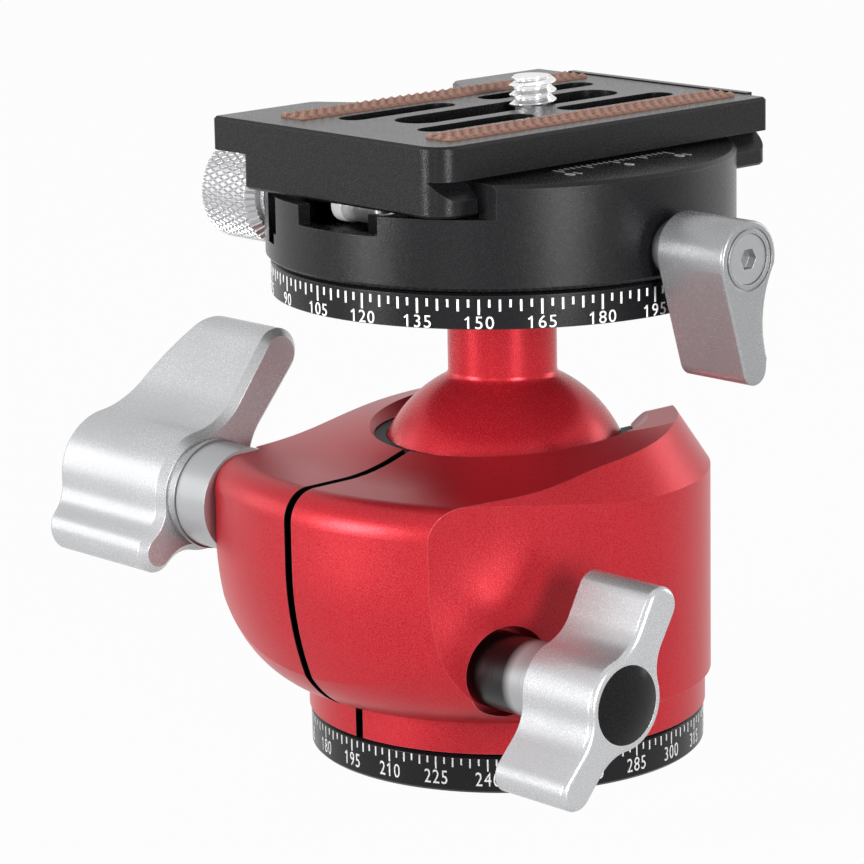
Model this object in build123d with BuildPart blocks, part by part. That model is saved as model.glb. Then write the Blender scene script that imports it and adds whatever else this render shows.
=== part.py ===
from build123d import *
import os
from math import asin, atan, cos, radians, sin, sqrt, tan

os.makedirs("parts", exist_ok=True)

# Tripod ball head with a panning quick-release clamp, a sliding plate and
# hand controls whose turning axes all lie along X.
# Millimetres, +Z up. The origin is the centre of the base's bottom face,
# under the panning axis. The slit in the housing faces -Y, the drop notch +Y.

# ------------------------------------------------------------ clearances
RUN = 0.05          # radial clearance of a shaft that turns in its bore
SEAT = 0.02         # gap between pieces that stay put on each other
SLIDE = 0.12        # clearance square to a sliding dovetail flank
FACE = 0.10         # axial play between faces that turn on each other
CLEAR = 0.20        # free space around a spacer or a loose hole

# ------------------------------------------------------------ base
BASE_R = 26.74
BASE_H = 5.05
BASE_EDGE = 0.35
THREAD_R = 4.0              # bore of the 3/8 inch tripod thread
THREAD_L = 10.0
THREAD_RELIEF_R = 4.6       # the spindle is bored wider above the thread
THREAD_WALL = 2.5
SPINDLE_NECK_R = 16.5
SPINDLE_HEAD_Z = 8.4
SPINDLE_TOP_Z = 15.0
COLLAR_R = 19.6             # bore of the housing around the spindle head
CIRCLIP_R = 20.6
CIRCLIP_T = 1.0
RING_GAP = 5.2              # opening of the two spring rings, at the slit
THRUST_IN_R = 20.7
THRUST_OUT_R = 24.0
THRUST_T = 0.3
BASE_SCREW_PCD = 24.0
BASE_SCREW_N = 3
BASE_SCREW_R = 1.5
BASE_SCREW_HEAD_R = 2.9
BASE_SCREW_L = 9.0
BASE_SOCKET_R = 1.1

# ------------------------------------------------------------ housing
BODY_R = 27.8
FOOT_R = 27.0
CREASE_Z = 9.8              # the rounded bowl starts here, above the foot
FLAT_AZ = 12.7              # a side flat leaves the round wall this far past X
LUG_FRONT_Y = -38.5
LUG_ARC_R = 45.0
BOWL_MID_R = 26.0           # centre of the ellipse of the bowl's side view
BOWL_MID_Z = 29.0
BOWL_REACH = 13.4
SWELL_R = 42.0              # slow curve that rolls the front into the bowl
SWELL_Z = 31.0
LUG_TOP_Z = 40.8
LUG_TOP_FILLET = 4.0
LAND_TOP_Z = 48.2           # apex of the shallow cone of the top land
LAND_SLOPE = 0.205
LAND_TILT = 0.095
LAND_BLEND = 30.0           # hollow that joins the cone to the flat top of the lug
BEVEL_Z = 37.9
BEVEL_SLOPE = 1.54
BEVEL_AZ = 8.2
CAVITY_R = 19.1             # spherical roof of the ball chamber
CHAMBER_R = 19.3
CHAMBER_STEP_Z = 31.0
MOUTH_Z = 42.5
MOUTH_ANGLE = 45.0
SLIT_W = 1.3
NOTCH_R = 9.9               # half width and round floor of the drop notch at the back
NOTCH_TOP_Z = 44.6
NOTCH_SHOULDER_R = 3.0
FAR = 60.0                  # reaches past the housing on every side

# ------------------------------------------------------------ ball and stem
BALL_R = 17.5
BALL_Z = 34.6
BALL_FLAT = 0.5
LINER_LOW_Z = 39.2
LINER_TOP_Z = 42.3
SEAT_LOW_Z = 19.5
SEAT_TOP_Z = 24.4
SEAT_HOLE_R = 11.0
SPRING_IN_R = 12.5
SNAP_LOW_Z = 17.9
SNAP_T = 1.0
SNAP_IN_R = 15.5
SNAP_OUT_R = 19.7
PAD_R = 4.0
STEM_R = 7.33
STEM_BLEND = 1.2
SPIGOT_R = 5.0
SPIGOT_L = 3.4

# ------------------------------------------------------------ clamp
DISC_R = 30.66
DISC_Z = 62.56
DISC_H = 4.58
DISC_EDGE = 0.3
CLAMP_R = 31.31
CLAMP_LOW_Z = 67.4
CLAMP_EDGE = 0.5
FLOOR_Z = 76.6
JAW_TOP_Z = 80.98
HUB_R = 13.0
HUB_LEDGE_Z = 74.0
FLANGE_R = 14.2
FLANGE_T = 1.5
BEARING_IN_R = 14.0
BEARING_OUT_R = 18.0
HUB_SCREW_R = 2.5
HUB_SCREW_HEAD_R = 4.3
HUB_SCREW_HEAD_T = 2.6
HUB_SCREW_LOW_Z = 52.0
HUB_SOCKET = 4.0
JAW_SPLIT_X = -13.0         # the fixed half of the clamp ends here
JAW_GAP = 2.5
JAW_LEDGE_Z = 70.15
JAW_FLAT_X = -22.5
JAW_END_Y = -21.9           # both jaws end square here above the channel floor
DRIVE_Y = -16.9
DRIVE_Z = 74.3
DRIVE_R = 2.1
DRIVE_END_X = 4.0
DRIVE_COLLAR_R = 2.35
DRIVE_COLLAR_L = 4.0
JAW_KNOB_R = 6.95
JAW_KNOB_L = 11.0
JAW_KNOB_EDGE = 1.1
JAW_WASHER_R = 5.2
JAW_WASHER_T = 0.85
WINDOW_X0 = -5.2
WINDOW_X1 = 9.0
WINDOW_Z = 74.0
WINDOW_IN_Y = 15.1
WELL_Z = 71.6               # hollow behind the window that bares the drive screw
WELL_OUT_Y = -28.9
WELL_MID_Y = -19.6
WELL_LUG_X = -4.4           # the lug that the drive screw is threaded into starts here
BACK_WINDOW_Z = 75.2
GUIDE_Y = 17.2
GUIDE_Z = 73.0
GUIDE_R = 1.5
GUIDE_X0 = -20.0
GUIDE_X1 = -2.0
GUIDE_SPRING_R = 2.4
GUIDE_SPRING_L = 4.8
GUIDE_BORE_X = -21.5

# ------------------------------------------------------------ plate
PLATE_Y0 = -28.39
PLATE_Y1 = 31.61
PLATE_TOP_Z = 85.98
SLAB_T = 4.47
FOOT_LOW_Z = 76.89
DOVETAIL_W = 38.0           # width of the standard dovetail foot
GROOVE_IN = 2.5             # the groove goes this far in, at 45 degrees
EAR_X = -25.0
EAR_NEAR_Y = -10.9
EAR_FAR_Y = 14.7
EAR_BLEND = 3.9
EAR_FILLET = 2.0
CORNER_R = 3.6
FAR_CORNER_R = 0.6
EAR_CORNER_R = 0.5
FOOT_CORNER_R = 0.8
FOOT_FAR_R = 1.5
END_WALL = 1.0              # the groove on the moving jaw's side stops short of the end
PLATE_EDGE = 0.35
LIP_T = 1.2
LIP_H = 0.15
LIP_INSET = 4.0
SLOT_X = -1.3
SLOT_Y0 = -16.3
SLOT_Y1 = 22.2
SIDE_SLOT_R = 2.0
BACK_SLOT_X = -9.0
FRONT_SLOT_X = 6.2
NEAR_SLOT_Y0 = -19.6
NEAR_SLOT_Y1 = -0.2
FAR_SLOT_Y0 = 5.4
FAR_SLOT_Y1 = 25.8
CAMERA_R = 3.175            # 1/4 inch camera screw
CAMERA_PROUD = 3.7
CAMERA_NECK_R = 2.4         # plain neck that the clip holds, up to the thread
CAMERA_NECK_PROUD = 0.3
CAMERA_Y = 7.5
CAMERA_HEAD_R = 4.9
CAMERA_HEAD_T = 3.0
CAMERA_TIP_EDGE = 0.35
CAMERA_SLOT_W = 1.2
CAMERA_SLOT_D = 1.4
CLIP_T = 0.65
RECESS_TOP_Z = 81.1
STRIP_T = 0.7
STRIP_SUNK = 0.4
STRIP_END_R = 1.2
FRONT_STRIP_X = 12.8
BACK_STRIP_X = -15.3
STRIP_W = 5.2
STRIP_Y0 = -23.2
STRIP_Y1 = 29.8
STOP_X = 3.4
STOP_Y = 24.2
STOP_R = 1.1
STOP_DROP = 1.2
STOP_L = 4.0

# ------------------------------------------------------------ main knob
# A lobe is its centre's y and z from the axis, its tip radius, and the
# radius of the blend into the hub.
MAIN_Y = -28.0
MAIN_Z = 34.2
MAIN_INNER_X = -29.0
MAIN_APEX_X = -52.0
MAIN_DOME_R = 38.0
MAIN_HUB_R = 8.3
MAIN_WEB = 5.8
MAIN_LOBES = ((13.6, 16.9, 3.5, 9.0), (-8.6, -6.9, 3.0, 4.0))
MAIN_EDGE = 1.0
MAIN_NECK_R = 7.0
MAIN_BUSH_R = 7.2
MAIN_RING_R = 7.5
MAIN_RING_X = -27.0
MAIN_RING_T = 0.6
MAIN_SPOT_X = -21.0
MAIN_BOLT_R = 2.95
MAIN_BOLT_SUNK = 8.0
MAIN_INSERT_R = 4.0
MAIN_INSERT_L = 11.0

# ------------------------------------------------------------ pan knob
PAN_Y = -22.2
PAN_Z = 18.3
PAN_BACK_X = 32.3
PAN_FRONT_X = 45.0
PAN_HUB_R = 6.2
PAN_WEB = 4.6
PAN_LOBES = ((6.4, 11.3, 2.6, 6.0), (-8.6, -9.4, 2.5, 6.0))
PAN_EDGE = 0.8
PAN_CAP_R = 5.1
PAN_CAP_SUNK = 1.5
PAN_CAP_DOME = 0.9
PAN_SLEEVE_R = 5.0
PAN_WASHER_R = 4.5
PAN_WASHER_T = 0.6
PAN_SPOT_R = 5.95
PAN_SPOT_X = 21.0
PAN_STUD_R = 2.0
PAN_STUD_SUNK = 8.0
PAN_INSERT_R = 2.8
PAN_INSERT_X = -4.0
PAN_INSERT_L = 8.0

# ------------------------------------------------------------ lever
LEVER_Y = 0.5
LEVER_UP = 3.9              # height of the lever's axis above the clamp's bottom
LEVER_X0 = 33.0
LEVER_X1 = 44.5
LEVER_HUB_R = 4.9
LEVER_TIP_R = 2.0
LEVER_TIP_Y = 1.3
LEVER_TIP_Z = -14.4
LEVER_SCOOP_R = 14.0
LEVER_SCOOP_Y = 2.7
LEVER_SCOOP_Z = -8.5
LEVER_EDGE = 0.4
LEVER_STUD_R = 2.0
LEVER_STUD_SUNK = 3.5
LEVER_BUSH_R = 3.6
LEVER_SPOT_X = 30.9
LEVER_SCREW_R = 1.5
LEVER_SCREW_L = 8.5
LEVER_HEAD_R = 3.2
LEVER_HEAD_T = 2.3
LEVER_SOCKET = 2.5
LEVER_GROOVE_R = 4.1
LEVER_GROOVE_W = 0.35
LEVER_GROOVE_D = 0.3
BRAKE_L = 3.9

# ------------------------------------------------------------ worked out
FOOT_Z = BASE_H + THRUST_T + FACE
CIRCLIP_Z = SPINDLE_HEAD_Z - RUN - CIRCLIP_T
BUSH_R = THREAD_R + THREAD_WALL
LINING_IN_R = BALL_R + RUN
LINING_OUT_R = CAVITY_R - RUN
HALF_SLIT = SLIT_W / 2
SLAB_Z = PLATE_TOP_Z - SLAB_T
DOVE_X = DOVETAIL_W / 2
DISC_TOP_Z = DISC_Z + DISC_H
HUB_LOW_Z = DISC_TOP_Z + SEAT
FLANGE_Z = HUB_LEDGE_Z + RUN
FLANGE_TOP_Z = FLANGE_Z + FLANGE_T
SOCKET_FACE_Z = FLANGE_TOP_Z - CLEAR
JAW_X = JAW_SPLIT_X - JAW_GAP
LEVER_Z = CLAMP_LOW_Z + LEVER_UP
JAW_WASHER_X = JAW_FLAT_X - RUN
JAW_KNOB_X = JAW_WASHER_X - JAW_WASHER_T - SEAT
CAMERA_CLIP_Z = RECESS_TOP_Z - CLIP_T - FACE
CAMERA_HEAD_Z = CAMERA_CLIP_Z - FACE - CAMERA_HEAD_T
RECESS_R = CAMERA_HEAD_R + CLEAR
SLOT_R = CAMERA_R + FACE
UP = (Align.CENTER, Align.CENTER, Align.MIN)
DOWN = (Align.CENTER, Align.CENTER, Align.MAX)


# ------------------------------------------------------------ helpers
def across_x(x, y=0.0, z=0.0):
    """Plane square to X: its own x is +Y and its own y is +Z."""
    return Plane(origin=(x, y, z), x_dir=(0, 1, 0), z_dir=(1, 0, 0))


def disc(plane, radius, length, hole=0.0, mode=Mode.ADD):
    """Round piece standing on a plane, with or without a bore."""
    with BuildSketch(plane) as outline:
        Circle(radius)
        if hole:
            Circle(hole, mode=Mode.SUBTRACT)
    extrude(outline.sketch, amount=length, mode=mode)


def bore(plane, radius, length):
    """Round hole that starts on a plane."""
    disc(plane, radius, length, mode=Mode.SUBTRACT)


def turned(points, mode=Mode.ADD):
    """Solid turned about Z from (radius, height) corners."""
    with BuildSketch(Plane.XZ) as outline:
        with BuildLine():
            Polyline(*points, close=True)
        make_face()
    revolve(outline.sketch, axis=Axis.Z, mode=mode)


def block(x0, x1, y0, y1, z0, z1, mode=Mode.ADD):
    """Square-edged block between two corners."""
    with Locations(((x0 + x1) / 2, (y0 + y1) / 2, (z0 + z1) / 2)):
        Box(x1 - x0, y1 - y0, z1 - z0, mode=mode)


def hex_socket(plane, across, depth):
    """Hexagon socket sunk below a face."""
    with BuildSketch(plane) as outline:
        RegularPolygon(across / 2, 6, major_radius=False)
    extrude(outline.sketch, amount=-depth, mode=Mode.SUBTRACT)


def wing(plane, hub_r, web, lobes):
    """Outline of a two-winged knob seen along its axis, with blended roots."""
    with BuildSketch(plane) as outline:
        Circle(hub_r)
        for y, z, tip_r, root_r in lobes:
            with BuildSketch(mode=Mode.PRIVATE) as arm:
                Circle(web / 2)
                with Locations((y, z)):
                    Circle(tip_r)
                make_hull()
            add(arm.sketch)
        for y, z, tip_r, root_r in lobes:
            reach = sqrt(y * y + z * z)
            on_hub = [v for v in outline.vertices() if abs(sqrt(v.X ** 2 + v.Y ** 2) - hub_r) < SEAT]
            ahead = [v for v in on_hub if v.X * y + v.Y * z > 0]
            fillet([v for v in ahead if abs(v.X * z - v.Y * y) < web * reach], root_r)
    return outline.sketch


def rims(built, radius):
    """Circular edges of one radius."""
    return [e for e in built.edges().filter_by(GeomType.CIRCLE) if abs(e.radius - radius) < SEAT]


def slot(plane, x, y0, y1, radius, amount):
    """Round-ended slot along Y, cut from a plane."""
    with BuildSketch(plane) as outline:
        with Locations((x, y0 + radius), (x, y1 - radius)):
            Circle(radius)
        make_hull()
    extrude(outline.sketch, amount=amount, mode=Mode.SUBTRACT)


def save(built, name):
    """Name a finished piece and write it."""
    built.part.label = name
    export_step(built.part, f"parts/{name}.step")


# ------------------------------------------------------------ base pieces
screw_spots = [place.position for place in PolarLocations(BASE_SCREW_PCD / 2, BASE_SCREW_N)]

with BuildPart() as base_disc:
    disc(Plane.XY, BASE_R, BASE_H, hole=BUSH_R + SEAT)
    chamfer(rims(base_disc, BASE_R), BASE_EDGE)
    for spot in screw_spots:
        with Locations(spot):
            Cylinder(BASE_SCREW_R + RUN, BASE_H, align=UP, mode=Mode.SUBTRACT)
            Cone(BASE_SCREW_HEAD_R + RUN, BASE_SCREW_R + RUN, BASE_SCREW_HEAD_R - BASE_SCREW_R,
                 align=UP, mode=Mode.SUBTRACT)
save(base_disc, "base_disc")

with BuildPart() as thread_bush:
    disc(Plane.XY, BUSH_R, THREAD_L, hole=THREAD_R)
save(thread_bush, "thread_bush")

with BuildPart() as base_screws:
    for spot in screw_spots:
        with Locations(spot):
            Cylinder(BASE_SCREW_R, BASE_SCREW_L, align=UP)
            Cone(BASE_SCREW_HEAD_R, BASE_SCREW_R, BASE_SCREW_HEAD_R - BASE_SCREW_R, align=UP)
            Cylinder(BASE_SOCKET_R, BASE_SCREW_R, align=UP, mode=Mode.SUBTRACT)
save(base_screws, "base_screws")

with BuildPart() as pan_spindle:
    neck_z = BASE_H + SEAT
    turned([(BUSH_R + SEAT, neck_z), (SPINDLE_NECK_R, neck_z), (SPINDLE_NECK_R, SPINDLE_HEAD_Z),
            (COLLAR_R - RUN, SPINDLE_HEAD_Z), (COLLAR_R - RUN, SPINDLE_TOP_Z),
            (THREAD_RELIEF_R, SPINDLE_TOP_Z), (THREAD_RELIEF_R, THREAD_L + SEAT),
            (BUSH_R + SEAT, THREAD_L + SEAT)])
    for spot in screw_spots:
        with Locations(spot):
            Cylinder(BASE_SCREW_R + SEAT, BASE_SCREW_L + SEAT, align=UP, mode=Mode.SUBTRACT)
save(pan_spindle, "pan_spindle")

with BuildPart() as thrust_washer:
    disc(Plane.XY.offset(BASE_H + SEAT), THRUST_OUT_R, THRUST_T - SEAT, hole=THRUST_IN_R)
save(thrust_washer, "thrust_washer")


# ------------------------------------------------------------ housing
def lug_plan():
    """Round wall with two flats that converge on a wide arched front."""
    arc_y = LUG_FRONT_Y + LUG_ARC_R
    lean = radians(FLAT_AZ)
    touch = Vector(BODY_R * cos(lean), -BODY_R * sin(lean))
    run = FAR / cos(lean)
    end = touch + Vector(-sin(lean), -cos(lean)) * run
    with BuildSketch(Plane.XY.offset(CREASE_Z)) as plan:
        with BuildLine():
            Polyline((0, 0), (touch.X, touch.Y), (end.X, end.Y),
                     (-end.X, end.Y), (-touch.X, touch.Y), close=True)
        make_face()
        with Locations((0, arc_y)):
            Circle(LUG_ARC_R, mode=Mode.INTERSECT)
        Circle(BODY_R)
    return plan.sketch


def bowl():
    """Room under the elliptical bowl, turned about the main axis."""
    with BuildPart() as room:
        with BuildSketch(Plane.XZ) as side:
            with Locations((BOWL_MID_R, BOWL_MID_Z)):
                Ellipse(BOWL_REACH, BOWL_MID_Z - CREASE_Z)
            with Locations((0, FAR)):
                Rectangle(BOWL_MID_R, FAR - CREASE_Z, align=(Align.MIN, Align.MAX))
                Rectangle(BOWL_MID_R + BOWL_REACH, FAR - BOWL_MID_Z, align=(Align.MIN, Align.MAX))
        revolve(axis=Axis.Z)
    return room.part


def front_swell():
    """Room behind the slowly curving front of the lug."""
    arc_y = LUG_FRONT_Y + LUG_ARC_R
    drop = SWELL_Z - CREASE_Z
    low_r = LUG_ARC_R - SWELL_R + sqrt(SWELL_R ** 2 - drop ** 2)
    mid_r = LUG_ARC_R - SWELL_R + sqrt(SWELL_R ** 2 - drop ** 2 / 4)
    with BuildPart() as room:
        with BuildSketch(Plane.XZ.offset(-arc_y)) as side:
            with BuildLine():
                curve = ThreePointArc((low_r, CREASE_Z), (mid_r, SWELL_Z - drop / 2), (LUG_ARC_R, SWELL_Z))
                Polyline(curve @ 1, (LUG_ARC_R, FAR), (0, FAR), (0, CREASE_Z), curve @ 0)
            make_face()
        revolve(axis=Axis((0, arc_y, 0), (0, 0, 1)))
    return room.part


def top_room():
    """Room under the tilted shallow cone, the flat top of the lug and the hollow between them."""
    tilt = atan(LAND_TILT)
    apex = Plane(origin=(0, 0, LAND_TOP_Z), x_dir=(1, 0, 0), z_dir=(0, -sin(tilt), cos(tilt)))
    reach = 2 * FAR
    fall = LAND_SLOPE * reach
    with BuildPart() as room:
        with Locations(apex):
            Cone(reach, 0, fall, align=DOWN)
        with Locations(apex.offset(-fall)):
            Cylinder(reach, FAR, align=DOWN)
        disc(Plane.XY, 2 * reach, LUG_TOP_Z)
        valley = [e for e in room.edges().filter_by(GeomType.ELLIPSE) if abs(e.center().Z - LUG_TOP_Z) < SEAT]
        fillet(valley, LAND_BLEND)
    return room.part


def notch():
    """Drop notch at the back: a round floor under straight walls with rounded shoulders."""
    shoulder_z = NOTCH_TOP_Z - NOTCH_SHOULDER_R
    shoulder_x = NOTCH_R + NOTCH_SHOULDER_R
    with BuildPart() as cut:
        with BuildSketch(Plane.XZ):
            with Locations((0, BALL_Z)):
                Circle(NOTCH_R)
            with BuildLine():
                Polyline((0, BALL_Z), (NOTCH_R, BALL_Z), (NOTCH_R, shoulder_z))
                RadiusArc((NOTCH_R, shoulder_z), (shoulder_x, NOTCH_TOP_Z), NOTCH_SHOULDER_R)
                Polyline((shoulder_x, NOTCH_TOP_Z), (FAR, NOTCH_TOP_Z), (FAR, FAR), (0, FAR), (0, BALL_Z))
            mirror(make_face().face(), about=Plane.YZ)
        extrude(amount=-FAR)
    return cut.part


def bevel_room():
    """Room under the steep outer bevel and the planes that carry it on over the flats."""
    apex_z = BEVEL_Z + BEVEL_SLOPE * BODY_R
    lean = radians(BEVEL_AZ)
    tilt = atan(1 / BEVEL_SLOPE)
    with BuildPart() as room:
        with BuildSketch(Plane.XY) as fan:
            with BuildLine():
                Polyline((0, 0), (2 * FAR * cos(lean), -2 * FAR * sin(lean)), (2 * FAR, -2 * FAR),
                         (-2 * FAR, -2 * FAR), (-2 * FAR * cos(lean), -2 * FAR * sin(lean)), close=True)
            make_face()
        extrude(amount=apex_z)
        for side in (1, -1):
            normal = (side * cos(tilt) * cos(lean), -cos(tilt) * sin(lean), sin(tilt))
            split(bisect_by=Plane(origin=(0, 0, apex_z), z_dir=normal), keep=Keep.BOTTOM)
        Cone(apex_z / BEVEL_SLOPE, 0, apex_z, align=UP)
    return room.part


with BuildPart() as housing:
    extrude(lug_plan(), amount=FAR - CREASE_Z)
    add(bowl(), mode=Mode.INTERSECT)
    add(front_swell(), mode=Mode.INTERSECT)
    add(top_room(), mode=Mode.INTERSECT)
    brow = [e for e in housing.edges().filter_by(GeomType.CIRCLE)
            if e.center().Z > LUG_TOP_Z - RUN and abs(e.radius - LUG_ARC_R) < SEAT]
    fillet(brow, LUG_TOP_FILLET)
    add(bevel_room(), mode=Mode.INTERSECT)
    disc(Plane.XY.offset(FOOT_Z), FOOT_R, CREASE_Z - FOOT_Z + SEAT)
    # ball chamber, mouth and panning collar
    collar_top = SPINDLE_TOP_Z + FACE
    with BuildSketch(Plane.XZ) as hollow:
        with BuildLine():
            mouth_r = sqrt(CAVITY_R ** 2 - (MOUTH_Z - BALL_Z) ** 2)
            flare_r = mouth_r + (FAR - MOUTH_Z) / tan(radians(MOUTH_ANGLE))
            mid = asin((MOUTH_Z - BALL_Z) / CAVITY_R) / 2
            roof = ThreePointArc((CAVITY_R, BALL_Z),
                                 (CAVITY_R * cos(mid), BALL_Z + CAVITY_R * sin(mid)),
                                 (mouth_r, MOUTH_Z))
            Polyline(roof @ 1, (flare_r, FAR), (0, FAR), (0, 0), (COLLAR_R, 0), (COLLAR_R, collar_top),
                     (CHAMBER_R, collar_top), (CHAMBER_R, CHAMBER_STEP_Z), (CAVITY_R, CHAMBER_STEP_Z),
                     roof @ 0)
        make_face()
    revolve(axis=Axis.Z, mode=Mode.SUBTRACT)
    add(notch(), mode=Mode.SUBTRACT)
    bore(Plane.XY.offset(CIRCLIP_Z - SEAT), CIRCLIP_R + SEAT, CIRCLIP_T + 2 * SEAT)
    bore(Plane.XY.offset(SNAP_LOW_Z - SEAT), SNAP_OUT_R + SEAT, SNAP_T + 2 * SEAT)
    # spot faces and bores of the two clamping screws
    disc(across_x(MAIN_SPOT_X, MAIN_Y, MAIN_Z), MAIN_BUSH_R + CLEAR, -FAR, mode=Mode.SUBTRACT)
    bore(across_x(0, MAIN_Y, MAIN_Z), MAIN_BOLT_R + CLEAR, -FAR)
    bore(across_x(0, MAIN_Y, MAIN_Z), MAIN_INSERT_R + SEAT, HALF_SLIT + MAIN_INSERT_L + SEAT)
    bore(across_x(PAN_SPOT_X, PAN_Y, PAN_Z), PAN_SPOT_R, FAR)
    bore(across_x(PAN_INSERT_X, PAN_Y, PAN_Z), PAN_STUD_R + RUN, FAR)
    bore(across_x(PAN_INSERT_X, PAN_Y, PAN_Z), PAN_INSERT_R + SEAT, -PAN_INSERT_L - SEAT)
    block(-HALF_SLIT, HALF_SLIT, -FAR, 0, 0, FAR, mode=Mode.SUBTRACT)
save(housing, "housing")

with BuildPart() as pan_circlip:
    disc(Plane.XY.offset(CIRCLIP_Z), CIRCLIP_R, CIRCLIP_T, hole=SPINDLE_NECK_R + CLEAR)
    block(-RING_GAP / 2, RING_GAP / 2, -FAR, 0, 0, FAR, mode=Mode.SUBTRACT)
save(pan_circlip, "pan_circlip")


def ball_lining(low_z, top_z):
    """Thin ring that wraps the ball between two heights."""
    with BuildSketch(Plane.XZ) as section:
        with Locations((0, BALL_Z)):
            Circle(LINING_OUT_R)
            Circle(LINING_IN_R, mode=Mode.SUBTRACT)
        with Locations((LINING_OUT_R / 2, (low_z + top_z) / 2)):
            Rectangle(LINING_OUT_R, top_z - low_z, mode=Mode.INTERSECT)
    return section.sketch


with BuildPart() as mouth_liner:
    revolve(ball_lining(LINER_LOW_Z, LINER_TOP_Z), axis=Axis.Z)
    add(notch(), mode=Mode.SUBTRACT)
save(mouth_liner, "mouth_liner")

with BuildPart() as ball_seat:
    disc(Plane.XY.offset(SEAT_LOW_Z), CHAMBER_R - FACE, SEAT_TOP_Z - SEAT_LOW_Z, hole=SEAT_HOLE_R)
    with Locations((0, 0, BALL_Z)):
        Sphere(LINING_IN_R, mode=Mode.SUBTRACT)
save(ball_seat, "ball_seat")

with BuildPart() as seat_spring:
    spring_z = SNAP_LOW_Z + SNAP_T + SEAT
    disc(Plane.XY.offset(spring_z), CHAMBER_R - CLEAR, SEAT_LOW_Z - SEAT - spring_z, hole=SPRING_IN_R)
save(seat_spring, "seat_spring")

with BuildPart() as seat_snap_ring:
    disc(Plane.XY.offset(SNAP_LOW_Z), SNAP_OUT_R, SNAP_T, hole=SNAP_IN_R)
    block(-RING_GAP / 2, RING_GAP / 2, -FAR, 0, 0, FAR, mode=Mode.SUBTRACT)
save(seat_snap_ring, "seat_snap_ring")

with BuildPart() as ball_front_pad:
    with Locations((0, 0, BALL_Z)):
        Sphere(LINING_OUT_R)
        Sphere(LINING_IN_R, mode=Mode.SUBTRACT)
    disc(Plane(origin=(0, 0, BALL_Z), z_dir=(0, -1, 0)), PAD_R, CAVITY_R, mode=Mode.INTERSECT)
save(ball_front_pad, "ball_front_pad")

# ------------------------------------------------------------ main knob
with BuildPart() as main_insert:
    disc(across_x(HALF_SLIT, MAIN_Y, MAIN_Z), MAIN_INSERT_R, MAIN_INSERT_L, hole=MAIN_BOLT_R + RUN)
save(main_insert, "main_insert")

with BuildPart() as main_bush:
    disc(across_x(MAIN_SPOT_X - SEAT, MAIN_Y, MAIN_Z), MAIN_BUSH_R,
         MAIN_RING_X + SEAT + FACE - MAIN_SPOT_X, hole=MAIN_BOLT_R + CLEAR)
save(main_bush, "main_bush")

with BuildPart() as main_washer:
    disc(across_x(MAIN_RING_X, MAIN_Y, MAIN_Z), MAIN_RING_R, -MAIN_RING_T, hole=MAIN_BOLT_R + SEAT)
save(main_washer, "main_washer")

with BuildPart() as main_bolt:
    bolt_x = MAIN_INNER_X - MAIN_BOLT_SUNK
    disc(across_x(bolt_x, MAIN_Y, MAIN_Z), MAIN_BOLT_R, HALF_SLIT + MAIN_INSERT_L - SEAT - bolt_x)
save(main_bolt, "main_bolt")

with BuildPart() as main_knob:
    dome = Vector(MAIN_APEX_X + MAIN_DOME_R, MAIN_Y, MAIN_Z)
    face = across_x(MAIN_INNER_X, MAIN_Y, MAIN_Z)
    extrude(wing(face, MAIN_HUB_R, MAIN_WEB, MAIN_LOBES), amount=MAIN_APEX_X - MAIN_INNER_X)
    with Locations(dome):
        Sphere(MAIN_DOME_R, mode=Mode.INTERSECT)
    rim = [e for e in main_knob.edges() if abs((e @ 0.5 - dome).length - MAIN_DOME_R) < SEAT]
    fillet(rim, MAIN_EDGE)
    inner = [e for e in main_knob.edges() if abs((e @ 0.5).X - MAIN_INNER_X) < SEAT]
    chamfer(inner, MAIN_EDGE)
    neck_l = MAIN_RING_X - MAIN_RING_T - SEAT - MAIN_INNER_X
    disc(face, MAIN_NECK_R, neck_l)
    bore(face.offset(neck_l), MAIN_BOLT_R + SEAT, -neck_l - MAIN_BOLT_SUNK - SEAT)
save(main_knob, "main_knob")

# ------------------------------------------------------------ pan knob
with BuildPart() as pan_insert:
    disc(across_x(PAN_INSERT_X, PAN_Y, PAN_Z), PAN_INSERT_R, -PAN_INSERT_L, hole=PAN_STUD_R + RUN)
save(pan_insert, "pan_insert")

with BuildPart() as pan_stud:
    stud_x = PAN_INSERT_X - PAN_INSERT_L + SEAT
    disc(across_x(stud_x, PAN_Y, PAN_Z), PAN_STUD_R, PAN_BACK_X + PAN_STUD_SUNK - stud_x)
save(pan_stud, "pan_stud")

with BuildPart() as pan_sleeve:
    sleeve_x = PAN_SPOT_X + RUN
    washer_x = PAN_BACK_X - SEAT - PAN_WASHER_T
    disc(across_x(sleeve_x, PAN_Y, PAN_Z), PAN_SLEEVE_R, washer_x - SEAT - sleeve_x, hole=PAN_STUD_R + SEAT)
save(pan_sleeve, "pan_sleeve")

with BuildPart() as pan_washer:
    disc(across_x(washer_x, PAN_Y, PAN_Z), PAN_WASHER_R, PAN_WASHER_T, hole=PAN_STUD_R + SEAT)
save(pan_washer, "pan_washer")

with BuildPart() as pan_knob:
    back = across_x(PAN_BACK_X, PAN_Y, PAN_Z)
    extrude(wing(back, PAN_HUB_R, PAN_WEB, PAN_LOBES), amount=PAN_FRONT_X - PAN_BACK_X)
    fronts = [e for e in pan_knob.edges() if e.center().X > PAN_FRONT_X - SEAT]
    fillet(fronts, PAN_EDGE)
    backs = [e for e in pan_knob.edges() if e.center().X < PAN_BACK_X + SEAT]
    chamfer(backs, PAN_EDGE / 2)
    bore(back, PAN_STUD_R + SEAT, PAN_STUD_SUNK + SEAT)
    bore(across_x(PAN_FRONT_X, PAN_Y, PAN_Z), PAN_CAP_R + SEAT, -PAN_CAP_SUNK - SEAT)
save(pan_knob, "pan_knob")

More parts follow.
